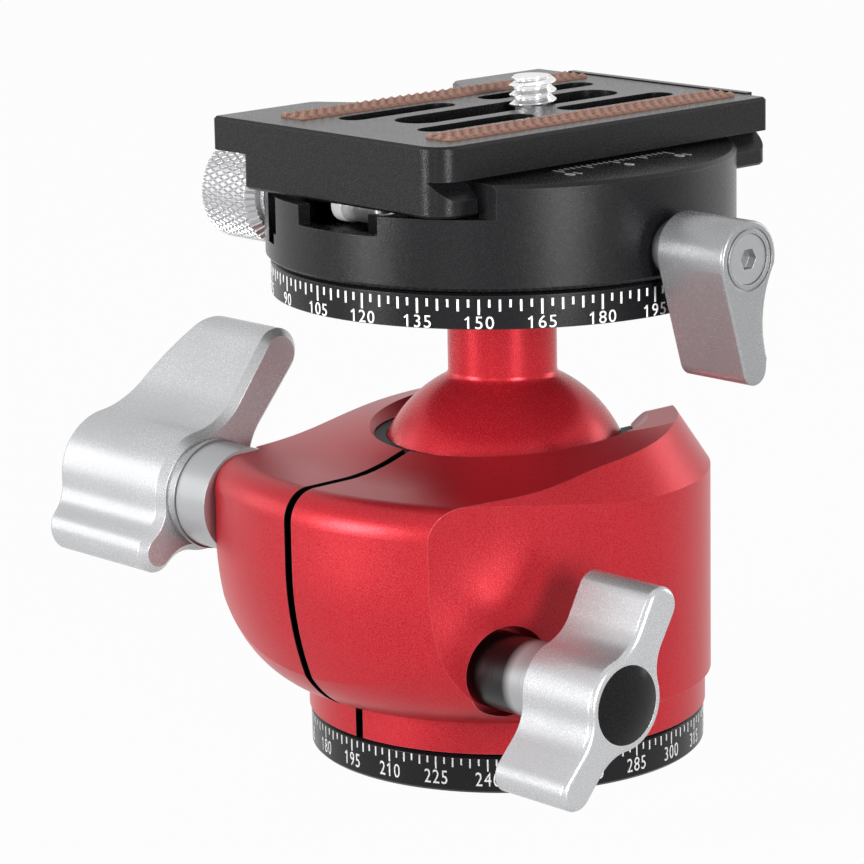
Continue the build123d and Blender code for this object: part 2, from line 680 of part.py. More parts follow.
with BuildPart() as pan_cap:
    cap_face = across_x(PAN_FRONT_X - PAN_CAP_SUNK, PAN_Y, PAN_Z)
    disc(cap_face, PAN_CAP_R, PAN_CAP_SUNK + PAN_CAP_DOME)
    cap_ball = (PAN_CAP_R ** 2 + PAN_CAP_DOME ** 2) / (2 * PAN_CAP_DOME)
    with Locations((PAN_FRONT_X + PAN_CAP_DOME - cap_ball, PAN_Y, PAN_Z)):
        Sphere(cap_ball, mode=Mode.INTERSECT)
save(pan_cap, "pan_cap")

# ------------------------------------------------------------ ball, stem and clamp hub
with BuildPart() as ball_stem:
    with Locations((0, 0, BALL_Z)):
        Sphere(BALL_R)
    disc(Plane.XY.offset(BALL_Z), STEM_R, DISC_Z - BALL_Z)
    root = [e for e in rims(ball_stem, STEM_R) if e.center().Z < DISC_Z - STEM_BLEND]
    fillet(root, STEM_BLEND)
    disc(Plane.XY.offset(DISC_Z), SPIGOT_R, SPIGOT_L)
    bore(Plane.XY.offset(HUB_SCREW_LOW_Z - SEAT), HUB_SCREW_R + SEAT, FAR)
    block(-FAR, FAR, -FAR, FAR, 0, BALL_Z - BALL_R + BALL_FLAT, mode=Mode.SUBTRACT)
save(ball_stem, "ball_stem")

with BuildPart() as clamp_scale_disc:
    disc(Plane.XY.offset(DISC_Z + SEAT), DISC_R, DISC_H - SEAT, hole=HUB_SCREW_R + CLEAR)
    chamfer(clamp_scale_disc.faces().sort_by(Axis.Z)[-1].outer_wire().edges(), DISC_EDGE)
    bore(Plane.XY.offset(DISC_Z), SPIGOT_R + SEAT, SPIGOT_L + SEAT)
save(clamp_scale_disc, "clamp_scale_disc")

with BuildPart() as bearing_washer:
    disc(Plane.XY.offset(DISC_TOP_Z + SEAT), BEARING_OUT_R, CLAMP_LOW_Z - RUN - DISC_TOP_Z - SEAT,
         hole=BEARING_IN_R)
save(bearing_washer, "bearing_washer")

with BuildPart() as clamp_hub:
    head_z = SOCKET_FACE_Z - HUB_SCREW_HEAD_T
    turned([(HUB_SCREW_R + CLEAR, HUB_LOW_Z), (HUB_R, HUB_LOW_Z), (HUB_R, FLANGE_Z),
            (FLANGE_R, FLANGE_Z), (FLANGE_R, FLANGE_TOP_Z), (HUB_SCREW_HEAD_R + CLEAR, FLANGE_TOP_Z),
            (HUB_SCREW_HEAD_R + CLEAR, head_z - SEAT), (HUB_SCREW_R + CLEAR, head_z - SEAT)])
save(clamp_hub, "clamp_hub")

with BuildPart() as hub_screw:
    disc(Plane.XY.offset(HUB_SCREW_LOW_Z), HUB_SCREW_R, head_z - HUB_SCREW_LOW_Z)
    disc(Plane.XY.offset(head_z), HUB_SCREW_HEAD_R, HUB_SCREW_HEAD_T)
    hex_socket(Plane.XY.offset(SOCKET_FACE_Z), HUB_SOCKET, HUB_SCREW_HEAD_T / 2)
save(hub_screw, "hub_screw")


# ------------------------------------------------------------ clamp jaws
def channel():
    """Dovetail channel that the plate's foot slides in, a clearance larger all round."""
    wide = DOVE_X + SLIDE * sqrt(2)
    knee_z = SLAB_Z - GROOVE_IN
    rise = PLATE_TOP_Z - knee_z
    with BuildPart() as cut:
        with BuildSketch(Plane.XZ) as section:
            with BuildLine():
                Polyline((-wide, FLOOR_Z), (wide, FLOOR_Z), (wide, knee_z), (wide - rise, PLATE_TOP_Z),
                         (rise - wide, PLATE_TOP_Z), (-wide, knee_z), close=True)
            make_face()
        extrude(amount=FAR, both=True)
    return cut.part


with BuildPart() as clamp_body:
    disc(Plane.XY.offset(CLAMP_LOW_Z), CLAMP_R, JAW_TOP_Z - CLAMP_LOW_Z)
    chamfer(rims(clamp_body, CLAMP_R), CLAMP_EDGE)
    add(channel(), mode=Mode.SUBTRACT)
    block(-FAR, JAW_SPLIT_X, -FAR, FAR, JAW_LEDGE_Z, PLATE_TOP_Z, mode=Mode.SUBTRACT)
    block(-FAR, JAW_FLAT_X, -FAR, FAR, CLAMP_LOW_Z, JAW_LEDGE_Z, mode=Mode.SUBTRACT)
    bore(Plane.XY.offset(CLAMP_LOW_Z), HUB_R + RUN, JAW_TOP_Z - CLAMP_LOW_Z)
    bore(Plane.XY.offset(HUB_LEDGE_Z), FLANGE_R + FACE, JAW_TOP_Z - HUB_LEDGE_Z)
    block(WINDOW_X0, WINDOW_X1, -FAR, -WINDOW_IN_Y, WINDOW_Z, JAW_TOP_Z, mode=Mode.SUBTRACT)
    block(JAW_SPLIT_X, WINDOW_X1, WELL_OUT_Y, WELL_MID_Y, WELL_Z, FLOOR_Z, mode=Mode.SUBTRACT)
    block(JAW_SPLIT_X, WELL_LUG_X, WELL_MID_Y, -WINDOW_IN_Y, WELL_Z, FLOOR_Z, mode=Mode.SUBTRACT)
    block(-FAR, FAR, -FAR, JAW_END_Y, FLOOR_Z, JAW_TOP_Z, mode=Mode.SUBTRACT)
    block(WINDOW_X0, WINDOW_X1, WINDOW_IN_Y, FAR, BACK_WINDOW_Z, JAW_TOP_Z, mode=Mode.SUBTRACT)
    bore(across_x(DRIVE_END_X + CLEAR, DRIVE_Y, DRIVE_Z), DRIVE_R + RUN, -FAR)
    bore(across_x(WELL_LUG_X, DRIVE_Y, DRIVE_Z), DRIVE_COLLAR_R + FACE, -FAR)
    bore(across_x(GUIDE_X1 + SEAT, GUIDE_Y, GUIDE_Z), GUIDE_R + SEAT, -FAR)
    bore(across_x(JAW_SPLIT_X + GUIDE_SPRING_L + SEAT, GUIDE_Y, GUIDE_Z), GUIDE_SPRING_R + SEAT, -FAR)
    bore(across_x(0, LEVER_Y, LEVER_Z), LEVER_STUD_R + RUN, FAR)
    bore(across_x(LEVER_SPOT_X, LEVER_Y, LEVER_Z), LEVER_BUSH_R + FACE, FAR)
save(clamp_body, "clamp_body")

with BuildPart() as moving_jaw:
    disc(Plane.XY.offset(CLAMP_LOW_Z), CLAMP_R, JAW_TOP_Z - CLAMP_LOW_Z)
    chamfer(rims(moving_jaw, CLAMP_R), CLAMP_EDGE)
    block(JAW_FLAT_X, JAW_X, -FAR, FAR, JAW_LEDGE_Z + RUN, JAW_TOP_Z, mode=Mode.INTERSECT)
    add(channel(), mode=Mode.SUBTRACT)
    block(-FAR, FAR, -FAR, JAW_END_Y, FLOOR_Z, JAW_TOP_Z, mode=Mode.SUBTRACT)
    bore(across_x(JAW_X, DRIVE_Y, DRIVE_Z), DRIVE_R + RUN, -FAR)
    bore(across_x(JAW_X, GUIDE_Y, GUIDE_Z), GUIDE_R + RUN, GUIDE_BORE_X - JAW_X)
save(moving_jaw, "moving_jaw")

with BuildPart() as guide_pin:
    disc(across_x(GUIDE_X0, GUIDE_Y, GUIDE_Z), GUIDE_R, GUIDE_X1 - GUIDE_X0)
save(guide_pin, "guide_pin")

with BuildPart() as jaw_spring:
    disc(across_x(JAW_SPLIT_X, GUIDE_Y, GUIDE_Z), GUIDE_SPRING_R, GUIDE_SPRING_L, hole=GUIDE_R + SEAT)
save(jaw_spring, "jaw_spring")

with BuildPart() as drive_screw:
    screw_x = JAW_KNOB_X - JAW_KNOB_L / 2
    disc(across_x(screw_x, DRIVE_Y, DRIVE_Z), DRIVE_R, DRIVE_END_X - screw_x)
    disc(across_x(JAW_X + RUN, DRIVE_Y, DRIVE_Z), DRIVE_COLLAR_R, DRIVE_COLLAR_L)
save(drive_screw, "drive_screw")

with BuildPart() as jaw_washer:
    disc(across_x(JAW_WASHER_X, DRIVE_Y, DRIVE_Z), JAW_WASHER_R, -JAW_WASHER_T, hole=DRIVE_R + SEAT)
save(jaw_washer, "jaw_washer")

with BuildPart() as jaw_knob:
    disc(across_x(JAW_KNOB_X, DRIVE_Y, DRIVE_Z), JAW_KNOB_R, -JAW_KNOB_L)
    chamfer(rims(jaw_knob, JAW_KNOB_R), JAW_KNOB_EDGE)
    bore(across_x(JAW_KNOB_X, DRIVE_Y, DRIVE_Z), DRIVE_R + SEAT, -JAW_KNOB_L / 2 - SEAT)
save(jaw_knob, "jaw_knob")

# ------------------------------------------------------------ pan lock lever of the clamp
with BuildPart() as brake_shoe:
    shoe_x = HUB_R + SEAT + RUN
    disc(across_x(shoe_x, LEVER_Y, LEVER_Z), LEVER_STUD_R, BRAKE_L)
save(brake_shoe, "brake_shoe")

with BuildPart() as lever_stud:
    stud_in_x = shoe_x + BRAKE_L + RUN
    disc(across_x(stud_in_x, LEVER_Y, LEVER_Z), LEVER_STUD_R, LEVER_X0 + LEVER_STUD_SUNK - stud_in_x)
    bore(across_x(LEVER_X0 + LEVER_STUD_SUNK, LEVER_Y, LEVER_Z), LEVER_SCREW_R + SEAT, -LEVER_SCREW_L)
save(lever_stud, "lever_stud")

with BuildPart() as lever_bush:
    disc(across_x(LEVER_SPOT_X + RUN, LEVER_Y, LEVER_Z), LEVER_BUSH_R, LEVER_X0 - SEAT - RUN - LEVER_SPOT_X,
         hole=LEVER_STUD_R + SEAT)
save(lever_bush, "lever_bush")

with BuildPart() as lock_lever:
    lever_front = across_x(LEVER_X1, LEVER_Y, LEVER_Z)
    with BuildSketch(across_x(LEVER_X0, LEVER_Y, LEVER_Z)) as arm:
        Circle(LEVER_HUB_R)
        with Locations((LEVER_TIP_Y, LEVER_TIP_Z)):
            Circle(LEVER_TIP_R)
        make_hull()
        with Locations((LEVER_SCOOP_Y + LEVER_SCOOP_R, LEVER_SCOOP_Z)):
            Circle(LEVER_SCOOP_R, mode=Mode.SUBTRACT)
    extrude(amount=LEVER_X1 - LEVER_X0)
    ends = [e for e in lock_lever.edges()
            if e.center().X > LEVER_X1 - SEAT or e.center().X < LEVER_X0 + SEAT]
    fillet(ends, LEVER_EDGE)
    bore(across_x(LEVER_X0, LEVER_Y, LEVER_Z), LEVER_STUD_R + SEAT, LEVER_STUD_SUNK + SEAT)
    bore(lever_front, LEVER_HEAD_R + RUN, -LEVER_HEAD_T - CLEAR)
    bore(lever_front, LEVER_SCREW_R + SEAT, LEVER_X0 - LEVER_X1)
    disc(lever_front, LEVER_GROOVE_R, -LEVER_GROOVE_D, hole=LEVER_GROOVE_R - LEVER_GROOVE_W,
         mode=Mode.SUBTRACT)
save(lock_lever, "lock_lever")

with BuildPart() as lever_screw:
    seat_x = LEVER_X1 - LEVER_HEAD_T - CLEAR + SEAT
    disc(across_x(seat_x, LEVER_Y, LEVER_Z), LEVER_HEAD_R, LEVER_HEAD_T)
    disc(across_x(seat_x, LEVER_Y, LEVER_Z), LEVER_SCREW_R, -LEVER_SCREW_L)
    hex_socket(across_x(seat_x + LEVER_HEAD_T, LEVER_Y, LEVER_Z), LEVER_SOCKET, LEVER_HEAD_T / 2)
save(lever_screw, "lever_screw")


# ------------------------------------------------------------ plate
def corner(plan, x_side, y_side):
    """Outermost corner of an outline toward one side of X and one of Y."""
    return max(plan.vertices(), key=lambda v: v.X * x_side + v.Y * y_side)


def plate_foot():
    """Dovetail foot with rounded upright corners and a short end wall across one groove."""
    knee_z = SLAB_Z - GROOVE_IN
    with BuildPart() as foot:
        with BuildSketch(Plane.XZ.offset(-PLATE_Y1)) as section:
            with BuildLine():
                Polyline((-DOVE_X, FOOT_LOW_Z), (DOVE_X, FOOT_LOW_Z), (DOVE_X, knee_z),
                         (DOVE_X - GROOVE_IN, SLAB_Z), (GROOVE_IN - DOVE_X, SLAB_Z),
                         (-DOVE_X, knee_z), close=True)
            make_face()
        extrude(amount=PLATE_Y1 - PLATE_Y0)
        block(-DOVE_X, GROOVE_IN - DOVE_X, PLATE_Y0, PLATE_Y0 + END_WALL, FOOT_LOW_Z, SLAB_Z)
        with BuildSketch(Plane.XY.offset(FOOT_LOW_Z)) as plan:
            with BuildLine():
                Polyline((-DOVE_X, PLATE_Y0), (DOVE_X, PLATE_Y0), (DOVE_X, PLATE_Y1),
                         (-DOVE_X, PLATE_Y1), close=True)
            make_face()
            fillet(corner(plan, 1, -1), CORNER_R)
            fillet(corner(plan, 1, 1), FOOT_FAR_R)
            fillet([corner(plan, -1, -1), corner(plan, -1, 1)], FOOT_CORNER_R)
        extrude(amount=SLAB_T + GROOVE_IN, mode=Mode.INTERSECT)
        chamfer(foot.faces().sort_by(Axis.Z)[0].edges(), PLATE_EDGE)
    return foot.part


with BuildPart() as quick_plate:
    with BuildSketch(Plane.XY.offset(SLAB_Z)) as slab:
        with BuildLine():
            Polyline((DOVE_X, PLATE_Y0), (DOVE_X, PLATE_Y1), (EAR_X, PLATE_Y1), (EAR_X, EAR_FAR_Y),
                     (-DOVE_X, EAR_FAR_Y - EAR_BLEND), (-DOVE_X, EAR_NEAR_Y + EAR_BLEND),
                     (EAR_X, EAR_NEAR_Y), (EAR_X, PLATE_Y0), close=True)
        make_face()
        fillet([v for v in slab.vertices() if v.X < 0 and abs(v.Y) < STOP_Y], EAR_FILLET)
        fillet(corner(slab, 1, -1), CORNER_R)
        fillet(corner(slab, 1, 1), FAR_CORNER_R)
        fillet([corner(slab, -1, -1), corner(slab, -1, 1)], EAR_CORNER_R)
    extrude(amount=SLAB_T)
    chamfer(quick_plate.faces().sort_by(Axis.Z)[-1].edges(), PLATE_EDGE)
    add(plate_foot())
    block(-DOVE_X, DOVE_X - LIP_INSET, PLATE_Y1, PLATE_Y1 + LIP_T, SLAB_Z, PLATE_TOP_Z + LIP_H)
    top = Plane.XY.offset(PLATE_TOP_Z)
    slot(top, SLOT_X, SLOT_Y0, SLOT_Y1, SLOT_R, -FAR)
    for slot_x in (BACK_SLOT_X, FRONT_SLOT_X):
        slot(top, slot_x, NEAR_SLOT_Y0, NEAR_SLOT_Y1, SIDE_SLOT_R, -FAR)
        slot(top, slot_x, FAR_SLOT_Y0, FAR_SLOT_Y1, SIDE_SLOT_R, -FAR)
    wider = RECESS_R - SLOT_R
    slot(Plane.XY, SLOT_X, SLOT_Y0 - wider, SLOT_Y1 + wider, RECESS_R, RECESS_TOP_Z)
    for strip_x in (FRONT_STRIP_X, BACK_STRIP_X):
        with BuildSketch(top.offset(-STRIP_SUNK)):
            with Locations((strip_x, (STRIP_Y0 + STRIP_Y1) / 2)):
                RectangleRounded(STRIP_W, STRIP_Y1 - STRIP_Y0, STRIP_END_R)
        extrude(amount=STRIP_T, mode=Mode.SUBTRACT)
    for stop_y in (-STOP_Y, STOP_Y):
        with Locations((STOP_X, stop_y, FOOT_LOW_Z)):
            Cylinder(STOP_R + SEAT, STOP_L - STOP_DROP + SEAT, align=UP, mode=Mode.SUBTRACT)
save(quick_plate, "quick_plate")


def grip_strip(x):
    """Rubber strip let into the top of the plate."""
    with BuildPart() as strip:
        with BuildSketch(Plane.XY.offset(PLATE_TOP_Z - STRIP_SUNK + SEAT)):
            with Locations((x, (STRIP_Y0 + STRIP_Y1) / 2)):
                RectangleRounded(STRIP_W - 2 * SEAT, STRIP_Y1 - STRIP_Y0 - 2 * SEAT, STRIP_END_R - SEAT)
        extrude(amount=STRIP_T)
    return strip


front_strip = grip_strip(FRONT_STRIP_X)
save(front_strip, "front_strip")

back_strip = grip_strip(BACK_STRIP_X)
save(back_strip, "back_strip")

with BuildPart() as stop_screws:
    for stop_y in (-STOP_Y, STOP_Y):
        with Locations((STOP_X, stop_y, FOOT_LOW_Z - STOP_DROP)):
            Cylinder(STOP_R, STOP_L, align=UP)
save(stop_screws, "stop_screws")

with BuildPart() as screw_clip:
    with Locations((SLOT_X, CAMERA_Y, CAMERA_CLIP_Z)):
        Cylinder(CAMERA_HEAD_R, CLIP_T, align=UP)
        Cylinder(CAMERA_NECK_R + RUN, CLIP_T, align=UP, mode=Mode.SUBTRACT)
save(screw_clip, "screw_clip")

with BuildPart() as camera_screw:
    thread_z = PLATE_TOP_Z + CAMERA_NECK_PROUD
    with Locations((SLOT_X, CAMERA_Y, CAMERA_HEAD_Z)):
        Cylinder(CAMERA_HEAD_R, CAMERA_HEAD_T, align=UP)
        Cylinder(CAMERA_NECK_R, thread_z - CAMERA_HEAD_Z, align=UP)
        Box(2 * CAMERA_HEAD_R, CAMERA_SLOT_W, CAMERA_SLOT_D, align=UP, mode=Mode.SUBTRACT)
    with Locations((SLOT_X, CAMERA_Y, thread_z)):
        Cylinder(CAMERA_R, CAMERA_PROUD - CAMERA_NECK_PROUD, align=UP)
    chamfer(camera_screw.faces().sort_by(Axis.Z)[-1].edges(), CAMERA_TIP_EDGE)
save(camera_screw, "camera_screw")
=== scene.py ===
# %% [markdown]
# # A tripod ball head, dressed
#
# The construction of the head comes packed as a fixed frame: every machined piece at its real
# size. This lesson gives those pieces their finishes, and models what the solids leave out: the
# scales with their numbers, the knurling, the ribbed rubber and the screw threads.

# %% Load the frame
from math import cos, pi, radians, sin, sqrt, tau

import bpy
from mathutils import Matrix, Quaternion, Vector


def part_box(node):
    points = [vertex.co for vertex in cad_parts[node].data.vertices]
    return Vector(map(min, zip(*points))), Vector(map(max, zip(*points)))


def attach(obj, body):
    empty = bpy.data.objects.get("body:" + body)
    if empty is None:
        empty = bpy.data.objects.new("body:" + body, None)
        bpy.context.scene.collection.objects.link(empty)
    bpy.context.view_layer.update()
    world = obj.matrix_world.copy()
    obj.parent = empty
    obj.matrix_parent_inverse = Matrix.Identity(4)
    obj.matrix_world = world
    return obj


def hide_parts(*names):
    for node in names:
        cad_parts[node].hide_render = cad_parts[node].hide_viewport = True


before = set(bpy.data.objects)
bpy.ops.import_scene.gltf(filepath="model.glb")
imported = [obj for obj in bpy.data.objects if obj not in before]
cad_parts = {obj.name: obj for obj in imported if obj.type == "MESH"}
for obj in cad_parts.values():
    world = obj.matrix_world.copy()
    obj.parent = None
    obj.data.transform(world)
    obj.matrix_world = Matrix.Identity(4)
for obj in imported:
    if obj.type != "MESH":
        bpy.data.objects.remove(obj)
bpy.context.scene.view_settings.view_transform = "Standard"
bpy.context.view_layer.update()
MM = 0.001
print("CAD nodes:", len(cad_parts))

# %% [markdown]
# ## Camera
#
# A product picture of something this small is taken with a long lens from about half a metre, a
# little above the object. The place, the line of sight and the slight roll of the camera are
# written as plain values, so the view can be changed by hand.

# %% Camera
CAMERA_PLACE = Vector((0.371004, -0.352035, 0.160581))
CAMERA_SIGHT = Vector((-0.71928, 0.65723, -0.22512))
CAMERA_ROLL = radians(-1.06)
CAMERA_LENS = 162.42
CAMERA_SENSOR = 36.0
NEAREST_SEEN = 0.01

camera_data = bpy.data.cameras.new("camera")
camera_data.lens = CAMERA_LENS
camera_data.sensor_width = CAMERA_SENSOR
camera_data.clip_start = NEAREST_SEEN
camera = bpy.data.objects.new("camera", camera_data)
bpy.context.collection.objects.link(camera)
level = CAMERA_SIGHT.to_track_quat("-Z", "Y")
camera.rotation_mode = "QUATERNION"
camera.rotation_quaternion = level @ Quaternion((0, 0, 1), CAMERA_ROLL)
camera.location = CAMERA_PLACE
bpy.context.scene.camera = camera
print("camera distance", round(CAMERA_PLACE.length, 3), "m")

# %% [markdown]
# ## Shader maths as Python
#
# A finish is a small graph of nodes. Writing it with Python's own operators keeps it readable: the
# first class below wraps a socket, and `grain * 0.2 + 0.3` adds the two Math nodes. Every other
# node comes from one method of the second class, which takes the node's type, its settings and
# what its sockets get.

# %% A socket that can be calculated with
class Wire:
    """A number or a colour on its way through a graph of nodes."""

    def __init__(self, graph, socket):
        self.graph = graph
        self.socket = socket

    def maths(self, operation, first, second=0.0):
        return self.graph.add("ShaderNodeMath", {"operation": operation}, {0: first, 1: second})

    def __add__(self, other):
        return self.maths("ADD", self, other)

    def __radd__(self, other):
        return self.maths("ADD", other, self)

    def __sub__(self, other):
        return self.maths("SUBTRACT", self, other)

    def __rsub__(self, other):
        return self.maths("SUBTRACT", other, self)

    def __mul__(self, other):
        return self.maths("MULTIPLY", self, other)

    def __rmul__(self, other):
        return self.maths("MULTIPLY", other, self)

    def high(self, other):
        """The larger of the two."""
        return self.maths("MAXIMUM", self, other)

    def above(self, other):
        """1 where this is the larger of the two, 0 elsewhere."""
        return self.maths("GREATER_THAN", self, other)

    def far(self):
        """The number without its sign."""
        return self.maths("ABSOLUTE", self)


# %% Graphs and finishes
BEVEL_SAMPLES = 6
EDGE_FROM, EDGE_TO = 0.02, 0.25


class Graph:
    """A tree of nodes that is being put together."""

    def __init__(self, tree):
        self.tree = tree
        self.tree.nodes.clear()

    def add(self, kind, settings, sockets, output=0):
        """Add one node, set it up, feed its sockets, and return one of its outputs."""
        node = self.tree.nodes.new(kind)
        for name, value in settings.items():
            setattr(node, name, value)
        for name, value in sockets.items():
            self.feed(node.inputs[name], value)
        return None if output is None else Wire(self, node.outputs[output])

    def feed(self, socket, value):
        """Give a socket a wire or a plain value."""
        if isinstance(value, Wire):
            self.tree.links.new(value.socket, socket)
        else:
            socket.default_value = value


class Finish(Graph):
    """A material that is being put together."""

    def __init__(self, name):
        self.material = bpy.data.materials.new(name)
        self.material.use_nodes = True
        super().__init__(self.material.node_tree)
        self.shader = self.tree.nodes.new("ShaderNodeBsdfPrincipled")
        self.end = self.tree.nodes.new("ShaderNodeOutputMaterial")
        self.tree.links.new(self.shader.outputs[0], self.end.inputs["Surface"])
        self.place = self.add("ShaderNodeTexCoord", {}, {}, "Object")

    def set(self, **values):
        """Feed the shader's own sockets: base_color=..., roughness=..."""
        for name, value in values.items():
            label = name.replace("_", " ").title().replace("Ior", "IOR")
            self.feed(self.shader.inputs[label], value)

    def axis(self, name):
        """How far along one axis of the object this spot lies."""
        return self.add("ShaderNodeSeparateXYZ", {}, {0: self.place}, name)

    def noise(self, size, detail=2.0, stretch=(1, 1, 1)):
        """Noise whose blobs are about this many metres across."""
        scaled = self.add("ShaderNodeMapping", {}, {"Vector": self.place, "Scale": stretch})
        sockets = {"Vector": scaled, "Scale": 1 / size, "Detail": detail}
        return self.add("ShaderNodeTexNoise", {}, sockets)

    def blend(self, amount, first, second):
        """Mix two colours."""
        sockets = {0: amount, 6: first, 7: second}
        return self.add("ShaderNodeMix", {"data_type": "RGBA"}, sockets, 2)

    def ramp(self, amount, low, high):
        """Stretch a number so that low becomes 0 and high becomes 1."""
        sockets = {"Value": amount, "From Min": low, "From Max": high}
        return self.add("ShaderNodeMapRange", {}, sockets)

    def bump(self, height, depth, strength, over=None):
        """Raise the surface by a height that runs from 0 to 1."""
        sockets = {"Height": height, "Distance": depth, "Strength": strength}
        if over is not None:
            sockets["Normal"] = over
        return self.add("ShaderNodeBump", {}, sockets)

    def rounded_edge(self, radius):
        """Shade sharp edges as if they were rounded by this radius."""
        return self.add("ShaderNodeBevel", {"samples": BEVEL_SAMPLES}, {"Radius": radius})

    def edge_mask(self, radius):
        """White along sharp edges, black elsewhere."""
        soft = self.rounded_edge(radius)
        true = self.add("ShaderNodeNewGeometry", {}, {}, "Normal")
        settings = {"operation": "DOT_PRODUCT"}
        dot = self.add("ShaderNodeVectorMath", settings, {0: soft, 1: true}, "Value")
        return self.ramp(1 - dot, EDGE_FROM, EDGE_TO)


def dress(finish, *nodes):
    """Give a finish to CAD nodes or pieces."""
    for item in nodes:
        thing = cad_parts[item] if isinstance(item, str) else item
        thing.data.materials.clear()
        thing.data.materials.append(finish.material)


# %% [markdown]
# ## Blasted and anodised aluminium
#
# Most of the head is aluminium that was blasted with fine beads and then anodised: the dye gives
# the colour, and the beads leave a grain of a sixth of a millimetre that breaks up every
# reflection. A partly metallic shader with a fine bump does that for the red and the grey, and
# the black dye is so dense that no metal shows through it. The sharp edges are painted a little
# lighter, partly as handling wear and partly as painted highlight. The walls of the housing's
# narrow slit lie in deep shade, and that shade is painted on them in near black.

# %% Colours
def colour(r, g, b):
    return (r, g, b, 1.0)


def lighter(rgb, share):
    """A colour part of the way to white."""
    return tuple(c + (1.0 - c) * share for c in rgb[:3]) + (1.0,)


def darker(rgb, share):
    """A colour part of the way to black."""
    return tuple(c * (1.0 - share) for c in rgb[:3]) + (1.0,)


RED = colour(0.42, 0.003, 0.012)
GREY = colour(0.47, 0.475, 0.487)
BLACK = colour(0.004, 0.004, 0.005)
# Near black, painted on surfaces that lie in deep shade.
PAINTED_SHADE = colour(0.003, 0.002, 0.002)

# %% Anodised finishes
GRAIN = 0.16 * MM
GRAIN_DEPTH = 0.03 * MM
GRAIN_FROM, GRAIN_TO, GRAIN_PALER = 0.30, 0.75, 0.25
MOTTLE = 12 * MM
MOTTLE_DARKER = 0.07
MIDDLE_FROM, MIDDLE_TO = 0.3, 0.7
# Sharp edges are lightened, partly as wear and partly as painted highlight.
EDGE_WEAR_HIGHLIGHT_WIDTH = 0.22 * MM
EDGE_WEAR_HIGHLIGHT_PALER = 0.5
ANODISED_EDGE = 0.12 * MM
ANODISED_SHINE = 0.2
ROUGH_SPREAD, ROUGH_MOTTLE = 0.12, 0.05
SLIT_HALF = 0.7 * MM
SLIT_END_Y = -1.0 * MM


def anodised(name, dye, metal=0.38, rough=0.30, grain=0.5, speck=0.14, edge=0.2, painted_shade_mask=None):
    """Dyed blasted aluminium; edges lightened as wear and painted highlight; a mask paints shade.
    """
    f = Finish(name)
    fine = f.noise(GRAIN, 1.0)
    broad = f.noise(MOTTLE)
    worn_and_highlit = f.edge_mask(EDGE_WEAR_HIGHLIGHT_WIDTH)
    shade = f.blend(f.ramp(broad, MIDDLE_FROM, MIDDLE_TO), darker(dye, MOTTLE_DARKER), dye)
    shade = f.blend(f.ramp(fine, GRAIN_FROM, GRAIN_TO) * speck, shade, lighter(dye, GRAIN_PALER))
    # Lighter edges: partly wear, partly painted highlight.
    shade = f.blend(worn_and_highlit * edge, shade, lighter(dye, EDGE_WEAR_HIGHLIGHT_PALER))
    # Walls in deep shade are painted near black as shade.
    if painted_shade_mask is not None:
        shade = f.blend(painted_shade_mask(f), shade, PAINTED_SHADE)
    f.set(base_color=shade,
          metallic=metal,
          roughness=rough + ROUGH_SPREAD * (fine - 0.5) + ROUGH_MOTTLE * (broad - 0.5),
          normal=f.bump(fine, GRAIN_DEPTH, grain, over=f.rounded_edge(ANODISED_EDGE)),
          specular_ior_level=ANODISED_SHINE)
    return f


def slit_walls(f):
    """1 on the two walls of the housing's slit, on the side of -Y, where shade is painted."""
    beside = 1 - f.axis("X").far().above(SLIT_HALF)
    return beside * (1 - f.axis("Y").above(SLIT_END_Y))


GREY_LOOK = {"metal": 0.60, "rough": 0.26, "edge": 0.3, "grain": 0.55}
BLACK_LOOK = {"metal": 0.0, "edge": 0.05}

# The walls of the slit get painted shade.
red = anodised("housing_red", RED, rough=0.32, painted_shade_mask=slit_walls)
ball_red = anodised("ball_red", RED, rough=0.27, grain=0.3, speck=0.10)
grey = anodised("knob_grey", GREY, **GREY_LOOK)
pan_grey = anodised("pan_knob_grey", GREY, **GREY_LOOK)
lever_grey = anodised("lever_grey", darker(GREY, 0.35), **GREY_LOOK)
black = anodised("clamp_black", BLACK, rough=0.26, speck=0.03, grain=0.9, **BLACK_LOOK)
jaw_black = anodised("jaw_black", BLACK, rough=0.26, speck=0.03, grain=0.9, **BLACK_LOOK)
plate_black = anodised("plate_black", BLACK, rough=0.25, speck=0.04, grain=0.9, **BLACK_LOOK)
scale_black = anodised("scale_black", BLACK, rough=0.26, speck=0.01, **BLACK_LOOK)
base_black = anodised("base_black", BLACK, rough=0.26, speck=0.01, **BLACK_LOOK)

ANODISED_NODES = {
    "housing": red, "ball_stem": ball_red, "main_knob": grey, "pan_knob": pan_grey,
    "lock_lever": lever_grey, "clamp_body": black, "moving_jaw": jaw_black,
    "quick_plate": plate_black, "clamp_scale_disc": scale_black, "base_disc": base_black,
}
for node_name, finish in ANODISED_NODES.items():
    dress(finish, node_name)
print("anodised nodes:", len(ANODISED_NODES))

# %% [markdown]
# ## Turned metal, plastic and rubber
#
# Screws, bushes and washers come off a lathe, which leaves rings finer than the eye can follow.
# The noise stays fine along the axis of each piece and is drawn out the other two ways, so it
# runs round the piece. Moulded parts have a matt grain without a direction. The copper-brown
# rubber of the grip strips gets painted shade in its grooves and a little painted highlight on
# the tops of its ribs.

# %% Turned metal
RING_DEPTH, RING_STRENGTH = 0.01 * MM, 0.35
RING_STRETCH = 0.02
# Edges of turned parts are lightened, partly as wear and partly as painted highlight.
RING_WEAR_HIGHLIGHT_WIDTH, RING_WEAR_HIGHLIGHT = 0.18 * MM, 0.3
SMALL_EDGE = 0.10 * MM
# Along the pan knob's neck, where the painted shade of the recess fades out.
NECK_X0, NECK_X1 = 27.6 * MM, 29.2 * MM
# Where the painted shade on the drive screw's stem ends.
STEM_END_X = -12.5 * MM


